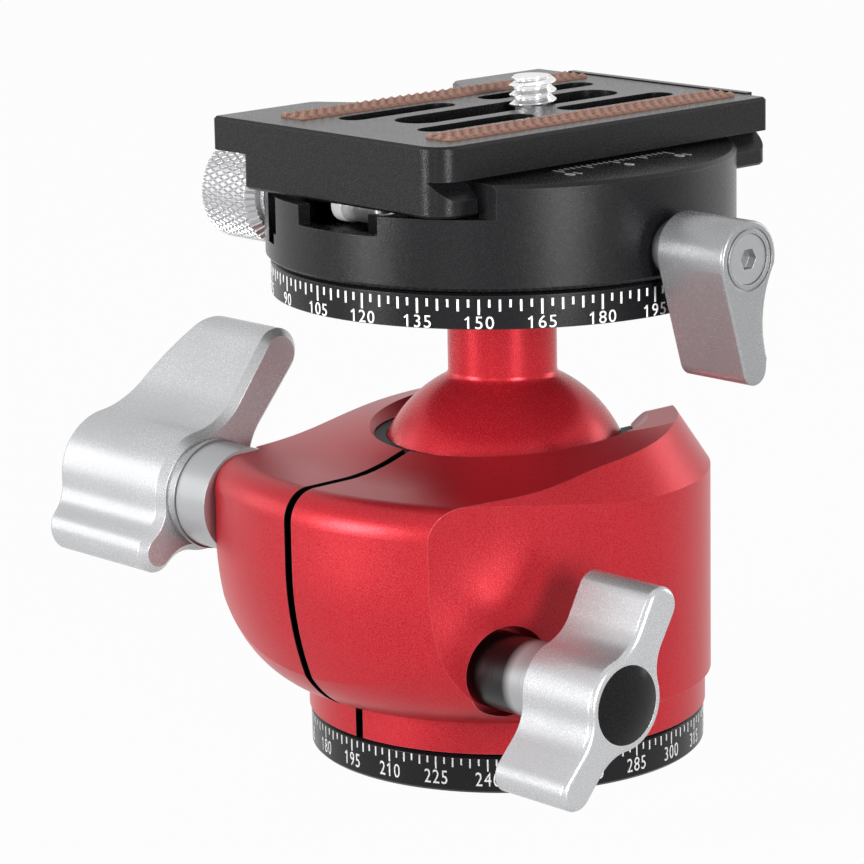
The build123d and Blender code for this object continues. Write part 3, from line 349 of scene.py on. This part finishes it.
def turned_metal(name, dye, axis, rough, pitch=0.18 * MM, metal=0.8, painted_shade_mask=None):
    """Bare or dyed metal with lathe rings, edges lightened as wear and painted highlight, a mask
    painting shade.
    """
    f = Finish(name)
    stretch = tuple(1 if letter == axis else RING_STRETCH for letter in "XYZ")
    rings = f.noise(pitch, stretch=stretch)
    worn_and_highlit = f.edge_mask(RING_WEAR_HIGHLIGHT_WIDTH)
    shade = f.blend(worn_and_highlit * RING_WEAR_HIGHLIGHT, dye, lighter(dye, EDGE_WEAR_HIGHLIGHT_PALER))
    # Parts in deep shade are painted near black as shade.
    if painted_shade_mask is not None:
        shade = f.blend(painted_shade_mask(f), shade, PAINTED_SHADE)
    f.set(base_color=shade,
          metallic=metal,
          roughness=rough + ROUGH_SPREAD * (rings - 0.5),
          normal=f.bump(rings, RING_DEPTH, RING_STRENGTH, over=f.rounded_edge(SMALL_EDGE)))
    return f


def inner_neck(f):
    """1 on the part of the pan knob's neck that sits in the housing's recess, painted dark as
    shade.
    """
    return 1 - f.ramp(f.axis("X"), NECK_X0, NECK_X1)


def behind_collar(f):
    """1 on the stem of the drive screw behind its collar, painted dark as shade."""
    return 1 - f.axis("X").above(STEM_END_X)


STEEL = colour(0.52, 0.52, 0.53)
NECK_GREY = darker(GREY, 0.3)
NECK_LOOK = {"pitch": 0.4 * MM, "metal": 0.35}

neck = turned_metal("neck_grey", NECK_GREY, "X", 0.30, **NECK_LOOK)
# The neck's part inside the recess gets painted shade.
pan_neck = turned_metal("pan_neck_grey", NECK_GREY, "X", 0.30, painted_shade_mask=inner_neck, **NECK_LOOK)
steel = turned_metal("steel", STEEL, "X", 0.30)
ring_steel = turned_metal("ring_steel", colour(0.30, 0.305, 0.31), "X", 0.35)
lever_steel = turned_metal("lever_screw_steel", colour(0.36, 0.365, 0.37), "X", 0.30)
flat_steel = turned_metal("flat_steel", STEEL, "Z", 0.32)
dark_steel = turned_metal("dark_steel", colour(0.06, 0.06, 0.065), "Z", 0.38)
stop_steel = turned_metal("stop_steel", colour(0.30, 0.30, 0.31), "Z", 0.30)
bare = turned_metal("plain_aluminium", colour(0.66, 0.66, 0.67), "Z", 0.33)
knurled = turned_metal("knurled_aluminium", colour(0.50, 0.50, 0.51), "X", 0.24, metal=0.7)
washer = turned_metal("washer_steel", colour(0.60, 0.60, 0.61), "X", 0.26)
# The drive screw is painted near white as highlight, and its stem behind the collar as shade.
drive_painted_light = turned_metal("bright_steel", colour(0.95, 0.95, 0.95), "X", 0.22, metal=0.3,
                      painted_shade_mask=behind_collar)
screw_bright = turned_metal("camera_screw_steel", colour(0.82, 0.82, 0.83), "Z", 0.18)
brass = turned_metal("brass", colour(0.62, 0.44, 0.17), "X", 0.28)

TURNED_NODES = (
    (neck, "main_bush", "lever_bush"),
    (pan_neck, "pan_sleeve"),
    (steel, "main_bolt", "pan_stud", "lever_stud", "guide_pin", "main_insert", "pan_insert",
     "jaw_spring"),
    (ring_steel, "main_washer"),
    (lever_steel, "lever_screw"),
    (flat_steel, "thread_bush", "pan_circlip", "seat_spring", "seat_snap_ring", "screw_clip"),
    (dark_steel, "base_screws", "hub_screw"),
    (stop_steel, "stop_screws"),
    (bare, "pan_spindle", "clamp_hub"),
    (washer, "jaw_washer"),
    (brass, "brake_shoe"),
)
for finish, *nodes in TURNED_NODES:
    dress(finish, *nodes)
print("turned nodes:", sum(len(nodes) for finish, *nodes in TURNED_NODES))

# %% Moulded plastic, print and rubber
PLASTIC_GRAIN = 0.3 * MM
PLASTIC_DEPTH = 0.02 * MM
PLASTIC_SPECK = 0.08
RUBBER_GRAIN = 0.25 * MM
RUBBER_DEPTH, RUBBER_STRENGTH = 0.04 * MM, 0.4
# Painted shade in the grooves and painted highlight on the ribs' tops, with a random mottle.
RUBBER_SHADE_MOTTLE_DARKER, RUBBER_HIGHLIGHT_MOTTLE_PALER = 0.35, 0.16
RUBBER_TIP_HIGHLIGHT, RUBBER_MOTTLE = 0.8, 0.4
RUBBER_ROUGH, RUBBER_SPREAD = 0.62, 0.15
PLATE_TOP = 85.98 * MM
TIP_HIGHLIGHT_TOP = PLATE_TOP + 0.55 * MM


def moulded(name, dye, rough, grain=0.12, shine=0.3):
    """Moulded plastic or print with a fine matt grain."""
    f = Finish(name)
    fine = f.noise(PLASTIC_GRAIN)
    pale = f.ramp(fine, MIDDLE_FROM, MIDDLE_TO) * PLASTIC_SPECK
    f.set(base_color=f.blend(pale, dye, lighter(dye, PLASTIC_SPECK)),
          roughness=rough + ROUGH_SPREAD * (fine - 0.5),
          normal=f.bump(fine, PLASTIC_DEPTH, grain, over=f.rounded_edge(SMALL_EDGE)),
          specular_ior_level=shine)
    return f


def ribbed_rubber(name, dye):
    """Rubber with painted shade in its grooves, painted highlight near the top of its ribs, and
    mottle.
    """
    f = Finish(name)
    fine = f.noise(RUBBER_GRAIN, 3.0)
    # Painted highlight towards the top of each rib, painted shade below it.
    tip_highlight = f.ramp(f.axis("Z"), PLATE_TOP, TIP_HIGHLIGHT_TOP)
    pale = tip_highlight * RUBBER_TIP_HIGHLIGHT + RUBBER_MOTTLE * (fine - 0.5)
    f.set(base_color=f.blend(pale, darker(dye, RUBBER_SHADE_MOTTLE_DARKER), lighter(dye, RUBBER_HIGHLIGHT_MOTTLE_PALER)),
          roughness=RUBBER_ROUGH + RUBBER_SPREAD * (fine - 0.5),
          normal=f.bump(fine, RUBBER_DEPTH, RUBBER_STRENGTH))
    return f


slip = moulded("slip_plastic", colour(0.006, 0.006, 0.007), 0.50, shine=0.15)
cap = moulded("cap_black", colour(0.002, 0.002, 0.0025), 0.18, grain=0.02, shine=0.15)
white_print = moulded("white_print", colour(0.95, 0.95, 0.95), 0.5)
grey_print = moulded("grey_print", colour(0.62, 0.62, 0.63), 0.5)
brown = ribbed_rubber("brown_rubber", colour(0.36, 0.150, 0.090))

SLIP_NODES = ("mouth_liner", "ball_seat", "ball_front_pad", "thrust_washer", "bearing_washer",
              "pan_washer")
dress(slip, *SLIP_NODES)
dress(cap, "pan_cap")
print("plastic nodes:", len(SLIP_NODES) + 1)

# %% [markdown]
# ## Modelling by hand, in code
#
# Every new piece starts from one of Blender's own shapes and is worked in edit mode, as it would
# be by hand. A few short helpers keep that readable: one adds a shape alone in the selection, one
# draws a profile point by point, one turns such a profile round an axis, and one finishes a
# piece, rests its origin at the centre of the world, and hangs it on the body that it moves with.

# %% Helpers for modelling
WELD = 1e-6


def pick(*things):
    """Select only these objects; the last one is active."""
    bpy.ops.object.select_all(action="DESELECT")
    for thing in things:
        thing.select_set(True)
        bpy.context.view_layer.objects.active = thing


def shape(kind, **settings):
    """Add one of Blender's own meshes, alone in the selection."""
    pick()
    getattr(bpy.ops.mesh, "primitive_" + kind + "_add")(**settings)
    return bpy.context.active_object


def edit(thing):
    """Open one object in edit mode with all of it selected."""
    pick(thing)
    bpy.ops.object.mode_set(mode="EDIT")
    bpy.ops.mesh.select_all(action="SELECT")


def done():
    bpy.ops.object.mode_set(mode="OBJECT")


def choose(thing, kind, test):
    """Open one object in edit mode with only the faces or edges that pass a test selected."""
    edit(thing)
    bpy.ops.mesh.select_mode(type=kind)
    bpy.ops.mesh.select_all(action="DESELECT")
    done()
    for part in thing.data.polygons if kind == "FACE" else thing.data.edges:
        part.select = test(part)
    bpy.ops.object.mode_set(mode="EDIT")


def modify(thing, kind, **settings):
    """Put one modifier on an object and apply it."""
    modifier = thing.modifiers.new(kind.lower(), kind)
    for name, value in settings.items():
        setattr(modifier, name, value)
    pick(thing)
    bpy.ops.object.modifier_apply(modifier=modifier.name)


def cut(thing, place, normal, fill=True):
    """Slice an object with a plane and drop what lies on the side of the normal."""
    edit(thing)
    bpy.ops.mesh.bisect(plane_co=place, plane_no=normal, use_fill=fill, clear_outer=True)
    done()


def combine(thing, other, operation):
    """Cut or intersect one closed shape with another, which is used up."""
    modify(thing, "BOOLEAN", object=other, operation=operation, solver="EXACT")
    bpy.data.objects.remove(other)


def gather(things):
    """Make one object of several."""
    pick(*things)
    bpy.ops.object.join()
    return bpy.context.active_object


def draw(points):
    """A chain of edges through points in the XZ plane, drawn by extruding a single vertex."""
    chain = shape("plane", size=MM)
    edit(chain)
    bpy.ops.mesh.merge(type="CENTER")
    bpy.ops.transform.translate(value=(points[0][0], 0, points[0][1]))
    for (x0, z0), (x1, z1) in zip(points, points[1:]):
        bpy.ops.mesh.extrude_region_move(TRANSFORM_OT_translate={"value": (x1 - x0, 0, z1 - z0)})
    done()
    return chain


def turn(chain, steps=64, rise=0.0, turns=1):
    """Turn a profile round Z; with a rise it climbs like a thread."""
    modify(chain, "SCREW", angle=tau, steps=steps, render_steps=steps, screw_offset=rise,
           iterations=turns, use_merge_vertices=True, merge_threshold=WELD)
    edit(chain)
    bpy.ops.mesh.remove_doubles(threshold=WELD)
    bpy.ops.mesh.normals_make_consistent(inside=False)
    done()
    return chain


def keep_place(thing):
    """Write an object's place and turn into its mesh."""
    pick(thing)
    bpy.ops.object.transform_apply(location=True, rotation=True, scale=True)


def move_to(thing, x, y, z):
    thing.location = (x, y, z)
    keep_place(thing)


def lay_along_x(thing, x, y, z):
    """Lay what was built along Z down along X, and put its foot at a place."""
    thing.rotation_euler = (0, pi / 2, 0)
    move_to(thing, x, y, z)


def settle(piece, name, body, finish, slot, *stands_for, smooth=35.0):
    """Finish a piece: its name, its shading, its finish and what it moves with."""
    keep_place(piece)
    bpy.ops.object.shade_smooth_by_angle(angle=radians(smooth))
    piece.name = name
    piece.data.name = name
    dress(finish, piece)
    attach(piece, body)
    if stands_for:
        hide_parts(*stands_for)
    print(name, "faces:", len(piece.data.polygons))


# %% [markdown]
# ## Screw threads
#
# A thread is a ridge that climbs by its pitch on each turn. The profile of a single ridge is
# turned with that rise, sliced flat at both ends, and intersected with a chamfered rod, just as a
# screw is pointed before its thread is cut. The camera screw is the common quarter-inch one with
# twenty turns to the inch. The drive screw of the jaw has a smooth collar and a finer thread.

# %% Threaded rods
THREAD_STEPS = 48
SPARE_TURNS = 3
ROD_SPARE = 0.02 * MM
# Shares of the pitch: the ridge's height, and where it is full, starts to fall and ends.
RIDGE_HEIGHT, RIDGE_FULL, RIDGE_FALLS, RIDGE_ENDS = 0.60, 0.43, 0.50, 0.93


def plain_rod(radius, length, foot=0.0, tip=0.0):
    """Rod that stands on the ground, with a chamfer at each end."""
    points = [(0, 0), (radius - foot, 0), (radius, foot),
              (radius, length - tip), (radius - tip, length), (0, length)]
    corners = [point for point, after in zip(points, points[1:] + [None]) if point != after]
    return turn(draw(corners))


def threaded_rod(radius, pitch, length, tip):
    """Rod along Z with a real helical thread and a chamfered upper end."""
    root = radius - RIDGE_HEIGHT * pitch
    ridge = [(root, 0), (radius, RIDGE_FULL * pitch), (radius, RIDGE_FALLS * pitch),
             (root, RIDGE_ENDS * pitch), (root, pitch)]
    rod = turn(draw(ridge), THREAD_STEPS, pitch, int(length / pitch) + SPARE_TURNS)
    move_to(rod, 0, 0, -pitch)
    cut(rod, (0, 0, 0), (0, 0, -1))
    cut(rod, (0, 0, length), (0, 0, 1))
    combine(rod, plain_rod(radius + ROD_SPARE, length, tip=tip), "INTERSECT")
    return rod


# %% Camera screw
CAMERA_R = 3.175 * MM
CAMERA_PITCH = 25.4 * MM / 20
CAMERA_TIP = 0.7 * MM
CAMERA_NECK_R = 2.4 * MM
CAMERA_HEAD_T = 3.0 * MM
CAMERA_SLOT_W = 1.2 * MM
CAMERA_SLOT_D = 1.4 * MM
CAMERA_THREAD_Z = 85.7 * MM

low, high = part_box("camera_screw")
screw_x = (low.x + high.x) / 2
screw_y = (low.y + high.y) / 2
head_r = (high.x - low.x) / 2
head = plain_rod(head_r, CAMERA_HEAD_T, foot=0.4 * MM, tip=0.3 * MM)
coin_slot = shape("cube", size=1, scale=(3 * head_r, CAMERA_SLOT_W, 2 * CAMERA_SLOT_D))
keep_place(coin_slot)
combine(head, coin_slot, "DIFFERENCE")
move_to(head, screw_x, screw_y, low.z)
shank = plain_rod(CAMERA_NECK_R, CAMERA_THREAD_Z - low.z - CAMERA_HEAD_T)
move_to(shank, screw_x, screw_y, low.z + CAMERA_HEAD_T)
thread = threaded_rod(CAMERA_R, CAMERA_PITCH, high.z - CAMERA_THREAD_Z, CAMERA_TIP)
move_to(thread, screw_x, screw_y, CAMERA_THREAD_Z)
settle(gather([head, shank, thread]), "camera_screw_threaded", "camera_screw", screw_bright,
       "camera_screw_steel", "camera_screw")

# %% Drive screw of the jaw
DRIVE_R = 2.1 * MM
DRIVE_PITCH = 0.5 * MM
DRIVE_TIP = 0.5 * MM
DRIVE_STEM_R = 1.5 * MM
COLLAR_R = 2.35 * MM
COLLAR_CHAMFER = 0.3 * MM
COLLAR_X0 = -12.4 * MM
COLLAR_X1 = -9.9 * MM

low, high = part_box("drive_screw")
drive_y = (low.y + high.y) / 2
drive_z = (low.z + high.z) / 2
stem = plain_rod(DRIVE_STEM_R, COLLAR_X0 - low.x)
lay_along_x(stem, low.x, drive_y, drive_z)
collar = plain_rod(COLLAR_R, COLLAR_X1 - COLLAR_X0, foot=COLLAR_CHAMFER, tip=COLLAR_CHAMFER)
lay_along_x(collar, COLLAR_X0, drive_y, drive_z)
thread = threaded_rod(DRIVE_R, DRIVE_PITCH, high.x - COLLAR_X1, DRIVE_TIP)
lay_along_x(thread, COLLAR_X1, drive_y, drive_z)
settle(gather([stem, collar, thread]), "drive_screw_threaded", "jaw_knob", drive_painted_light,
       "bright_steel", "drive_screw")

# %% [markdown]
# ## Knurled jaw knob
#
# The little knob that closes the jaw is rolled between two toothed wheels, which press a net of
# grooves into it. It is modelled flat: a sheet of squares stands on its corner, each square is
# inset and raised into a flat-topped diamond, the sheet is stretched and trimmed, and a bend
# through a full turn rolls it up. The rims are extruded from its two open ends.

# %% Knurled knob
KNURL_AROUND = 44
KNURL_ALONG = 2.2 * MM
KNURL_DEPTH = 0.30 * MM
KNURL_GROOVE = 0.13 * MM
KNURL_WELD = 0.005 * MM
KNOB_CHAMFER = 1.1 * MM
KNOB_FACE_R = 5.2 * MM

low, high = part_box("jaw_knob")
knob_r = (high.z - low.z) / 2
knob_l = high.x - low.x
ground_r = knob_r - KNURL_DEPTH
round_l = tau * ground_r
diamond = round_l / KNURL_AROUND
straight_l = knob_l - 2 * KNOB_CHAMFER
squares = 2 * int(KNURL_AROUND / 2 + straight_l / KNURL_ALONG / 2 + 2)
net = shape("grid", x_subdivisions=squares, y_subdivisions=squares,
            size=squares * diamond / sqrt(2))
edit(net)
bpy.ops.mesh.inset(thickness=KNURL_GROOVE, depth=KNURL_DEPTH, use_individual=True)
done()
net.rotation_euler = (0, 0, pi / 4)
keep_place(net)
net.scale = (KNURL_ALONG / diamond, 1, 1)
keep_place(net)
for side in (1, -1):
    cut(net, (side * straight_l / 2, 0, 0), (side, 0, 0), fill=False)
    cut(net, (0, side * round_l / 2, 0), (0, side, 0), fill=False)
net.rotation_euler = (pi / 2, 0, 0)
keep_place(net)
modify(net, "SIMPLE_DEFORM", deform_method="BEND", deform_axis="X", angle=tau)
move_to(net, 0, -ground_r, 0)

# %% Rims and ends of the knurled knob
RIM_SIZES = ((knob_l / straight_l, 1 - KNOB_CHAMFER / knob_r), (1, KNOB_FACE_R / knob_r))

edit(net)
bpy.ops.mesh.remove_doubles(threshold=KNURL_WELD)
for length_share, width_share in RIM_SIZES:
    bpy.ops.mesh.select_all(action="DESELECT")
    bpy.ops.mesh.select_mode(type="EDGE")
    bpy.ops.mesh.select_non_manifold(use_wire=False, use_multi_face=False,
                                     use_non_contiguous=False, use_verts=False)
    bpy.ops.mesh.extrude_edges_move()
    bpy.ops.transform.resize(value=(length_share, width_share, width_share),
                             center_override=(0, 0, 0))
bpy.ops.mesh.select_all(action="SELECT")
bpy.ops.mesh.fill_holes(sides=0)
bpy.ops.mesh.normals_make_consistent(inside=False)
done()
move_to(net, (low.x + high.x) / 2, drive_y, drive_z)
settle(net, "jaw_knob_knurled", "jaw_knob", knurled, "knurled_aluminium", "jaw_knob", smooth=20.0)

# %% [markdown]
# ## Grip strips
#
# Two rubber strips let into the top of the plate keep the camera from turning. Their tops are
# rows of small pyramids. A sheet of squares is given its thickness, each top face is poked into a
# pyramid, and a block with round corners trims the outline.

# %% Rubber strips with pyramids
RIB = 1.56 * MM
RIB_TOP = PLATE_TOP + 0.62 * MM
RIB_FOOT = PLATE_TOP + 0.04 * MM
STRIP_CORNER = 1.2 * MM
CORNER_STEPS = 5
FACES_UP = 0.9


def grip_strip(node, name):
    """Rubber strip with rows of pyramids, in the place of a plain one."""
    foot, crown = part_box(node)
    width, length = crown.x - foot.x, crown.y - foot.y
    centre = ((foot.x + crown.x) / 2, (foot.y + crown.y) / 2, RIB_FOOT)
    sheet = shape("grid", x_subdivisions=round(width / RIB), y_subdivisions=round(length / RIB),
                  size=1, location=centre)
    sheet.scale = (width, length, 1)
    keep_place(sheet)
    modify(sheet, "SOLIDIFY", thickness=RIB_FOOT - foot.z, offset=-1)
    choose(sheet, "FACE", lambda face: face.normal.z > FACES_UP)
    bpy.ops.mesh.poke(offset=RIB_TOP - RIB_FOOT)
    done()
    outline = shape("cube", size=1, scale=(width, length, 4 * RIB), location=centre)
    keep_place(outline)
    ends = outline.data.vertices

    def upright(edge):
        return abs((ends[edge.vertices[0]].co - ends[edge.vertices[1]].co).z) > RIB

    choose(outline, "EDGE", upright)
    bpy.ops.mesh.bevel(offset=STRIP_CORNER, segments=CORNER_STEPS, affect="EDGES")
    done()
    combine(sheet, outline, "INTERSECT")
    settle(sheet, name, "plate", brown, "brown_rubber", node, smooth=12.0)


grip_strip("front_strip", "front_strip_ribbed")
grip_strip("back_strip", "back_strip_ribbed")

# %% [markdown]
# ## Scales
#
# Both rings carry a scale of degrees: a mark every two and a half degrees, a longer one every
# five, the longest every fifteen, with its number. The print is white on the upper ring and grey
# on the base. A mark is a thin block and a digit is a piece of text made a mesh; each is stamped
# round the ring by itself, so it lies on the curve. The fixed jaw has a short ruler in
# millimetres beside the plate.

# %% Marks and digits
PRINT_T = 0.06 * MM
FONT_HEIGHT = 0.69
FONT_ADVANCE = 0.56
FONT_STEPS = 4
FLAG_WIDTH, FLAG_LENGTH = 0.085, 0.24
FLAG_PLACE = (-0.085, 0.565, 0)
FLAG_LEAN = radians(-52)


def mark(width, height):
    """A printed line that stands upright, hanging from the origin."""
    line = shape("cube", size=1, scale=(width, height, PRINT_T), location=(0, -height / 2, 0))
    keep_place(line)
    return line


def top_of(figure):
    return max(vertex.co.z for vertex in figure.data.vertices)


def digit(character, height, advance):
    """One printed digit, standing on the origin; its flag is added to the plain bar of a 1."""
    pick()
    bpy.ops.object.text_add()
    text = bpy.context.active_object
    text.data.body = character
    text.data.align_x = "CENTER"
    text.data.resolution_u = FONT_STEPS
    text.data.extrude = PRINT_T / 2 * FONT_HEIGHT / height
    bpy.ops.object.convert(target="MESH")
    figure = bpy.context.active_object
    if character == "1":
        flag = shape("cube", size=1, scale=(FLAG_WIDTH, FLAG_LENGTH, 2 * top_of(figure)),
                     rotation=(0, 0, FLAG_LEAN), location=FLAG_PLACE)
        keep_place(flag)
        figure = gather([flag, figure])
    share = height / FONT_HEIGHT
    figure.scale = (advance / FONT_ADVANCE, share, share)
    keep_place(figure)
    return figure


def stamp(pattern, place):
    """Copy a printed shape to a place."""
    copy = pattern.copy()
    copy.data = pattern.data.copy()
    bpy.context.collection.objects.link(copy)
    copy.matrix_world = place
    return copy


def spread(number, advance):
    """Each digit of a number with its distance from the number's middle."""
    return [(character, (order - (len(number) - 1) / 2) * advance)
            for order, character in enumerate(number)]


def clear(shapes):
    for used in shapes:
        bpy.data.objects.remove(used)


# %% Degree scales
STEP = 2.5
TURN = 144
SHORT_EVERY, LONG_EVERY = 2, 6
PRINT_GAP = 0.01 * MM
DIGIT_SPACING = 1.02


def on_ring(radius, azimuth, height):
    """The place on an upright ring where a print faces outwards."""
    spot = Matrix.Translation((radius * cos(azimuth), radius * sin(azimuth), height))
    return spot @ Matrix.Rotation(azimuth + pi / 2, 4, "Z") @ Matrix.Rotation(pi / 2, 4, "X")


def degree_scale(name, body, finish, node, zero, top, marks, width, height, advance, foot):
    """Stamp a full turn of marks and numbers on the ring of a node."""
    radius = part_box(node)[1].x + PRINT_GAP
    lines = [mark(width, length) for length in marks]
    digits = {character: digit(character, height, advance) for character in "0123456789"}
    print_work = []
    for count in range(TURN):
        azimuth = radians(count * STEP + zero)
        size = 2 if count % LONG_EVERY == 0 else 1 if count % SHORT_EVERY == 0 else 0
        print_work.append(stamp(lines[size], on_ring(radius, azimuth, top)))
        number = str(round(count * STEP)) if size == 2 else ""
        for character, along in spread(number, advance * DIGIT_SPACING):
            place = on_ring(radius, azimuth + along / radius, foot)
            print_work.append(stamp(digits[character], place))
    clear(lines + list(digits.values()))
    settle(gather(print_work), name, body, finish, "scale_black")


degree_scale("base_scale_print", "base", grey_print, "base_disc", zero=70.79, top=4.66 * MM,
             marks=(0.90 * MM, 1.25 * MM, 1.62 * MM), width=0.22 * MM,
             height=1.86 * MM, advance=1.16 * MM, foot=1.02 * MM)
degree_scale("clamp_scale_print", "ball", white_print, "clamp_scale_disc", zero=161.1,
             top=66.42 * MM, marks=(1.02 * MM, 1.52 * MM, 1.96 * MM), width=0.30 * MM,
             height=1.60 * MM, advance=1.34 * MM, foot=62.66 * MM)

# %% Ruler on the fixed jaw
RULER_X = 19.3 * MM
RULER_Y = 1.05 * MM
RULER_Z = 80.98 * MM
RULER_REACH = 10
RULER_LONG_EVERY = 5
RULER_LENGTHS = (0.9 * MM, 2.1 * MM)
RULER_WIDTH = 0.16 * MM
RULER_DIGIT_HEIGHT = 1.6 * MM
RULER_DIGIT_WIDTH = 1.3 * MM
RULER_ADVANCE = 1.34 * MM
RULER_FIGURES_X = 22.25 * MM


def on_jaw(x, y):
    """The place on top of the jaw where a print reads from the plate's side."""
    return Matrix.Translation((x, y, RULER_Z)) @ Matrix.Rotation(-pi / 2, 4, "Z")


lines = [mark(RULER_WIDTH, length) for length in RULER_LENGTHS]
digits = {character: digit(character, RULER_DIGIT_HEIGHT, RULER_DIGIT_WIDTH) for character in "01"}
print_work = []
for count in range(-RULER_REACH, RULER_REACH + 1):
    long = count % RULER_LONG_EVERY == 0
    end = on_jaw(RULER_X + RULER_LENGTHS[long], RULER_Y + count * MM)
    print_work.append(stamp(lines[long], end))
for count in (-RULER_REACH, 0, RULER_REACH):
    for character, along in spread(str(abs(count)), RULER_ADVANCE):
        place = on_jaw(RULER_FIGURES_X, RULER_Y + count * MM - along)
        print_work.append(stamp(digits[character], place))
clear(lines + list(digits.values()))
settle(gather(print_work), "jaw_ruler_print", "clamp", white_print, "clamp_black")

# %% [markdown]
# ## Studio
#
# The head stands on a pale floor in front of a white backdrop. What the camera and the metal see
# of the floor and the world is nearly plain white, while they throw little light themselves. The
# light comes from soft boxes: two tall narrow ones to the right and the left, which draw the
# bright stripes along the round parts, a weak one in front between them, two broad ones behind,
# and a weak one overhead.

# %% Floor and world
WHITE = colour(1, 1, 1)
FLOOR_SIZE = 3.0
FLOOR_GREY = colour(0.45, 0.45, 0.45)
FLOOR_ROUGH = 0.6
FLOOR_GLOW = 0.97
ROOM_LIGHT = 0.10


def seen_or_mirrored(graph):
    """1 for rays from the camera, and for those that metal or glass sends on."""
    def path(name):
        return graph.add("ShaderNodeLightPath", {}, {}, name)
    return path("Is Camera Ray").high(path("Is Glossy Ray")).high(path("Is Transmission Ray"))


floor = shape("plane", size=FLOOR_SIZE)
floor.name = "floor"
floor_finish = Finish("floor_white")
floor_finish.set(base_color=FLOOR_GREY, roughness=FLOOR_ROUGH)
plain = Wire(floor_finish, floor_finish.shader.outputs[0])
glow = floor_finish.add("ShaderNodeEmission", {}, {"Color": WHITE})
share = seen_or_mirrored(floor_finish) * FLOOR_GLOW
surface = floor_finish.add("ShaderNodeMixShader", {}, {0: share, 1: plain, 2: glow})
floor_finish.feed(floor_finish.end.inputs["Surface"], surface)
dress(floor_finish, floor)

world = bpy.data.worlds.new("studio")
bpy.context.scene.world = world
world.use_nodes = True
room = Graph(world.node_tree)
dim = room.add("ShaderNodeBackground", {}, {"Color": WHITE, "Strength": ROOM_LIGHT})
backdrop = room.add("ShaderNodeBackground", {}, {"Color": WHITE, "Strength": 1.0})
sky = room.add("ShaderNodeMixShader", {}, {0: seen_or_mirrored(room), 1: dim, 2: backdrop})
room.add("ShaderNodeOutputWorld", {}, {"Surface": sky}, output=None)
print("floor", FLOOR_SIZE, "m, room light", ROOM_LIGHT)

# %% Lamps
HEART = Vector((0, 0, 0.045))


def soft_box(name, place, width, height, watts):
    """A rectangular lamp that faces the object."""
    data = bpy.data.lights.new(name, "AREA")
    data.shape = "RECTANGLE"
    data.size = width
    data.size_y = height
    data.energy = watts
    lamp = bpy.data.objects.new(name, data)
    bpy.context.collection.objects.link(lamp)
    lamp.location = place
    lamp.rotation_euler = (HEART - lamp.location).to_track_quat("-Z", "Y").to_euler()
    print(name, watts, "W")


def around(azimuth, height, distance):
    """A place at this height and distance from the object, at a compass angle in degrees."""
    turned = radians(azimuth)
    return (distance * cos(turned), distance * sin(turned), height)


soft_box("right", around(-14, 0.12, 0.80), 0.20, 0.50, 9.0)
soft_box("left", around(-108, 0.12, 0.80), 0.18, 0.50, 9.0)
soft_box("front", around(-64, 0.08, 0.90), 0.12, 0.40, 0.8)
soft_box("rear_left", around(208, 0.15, 0.90), 0.40, 0.60, 1.5)
soft_box("rear_right", around(72, 0.15, 0.90), 0.40, 0.60, 2.5)
soft_box("top", (-0.10, 0.10, 0.95), 0.60, 0.60, 0.4)
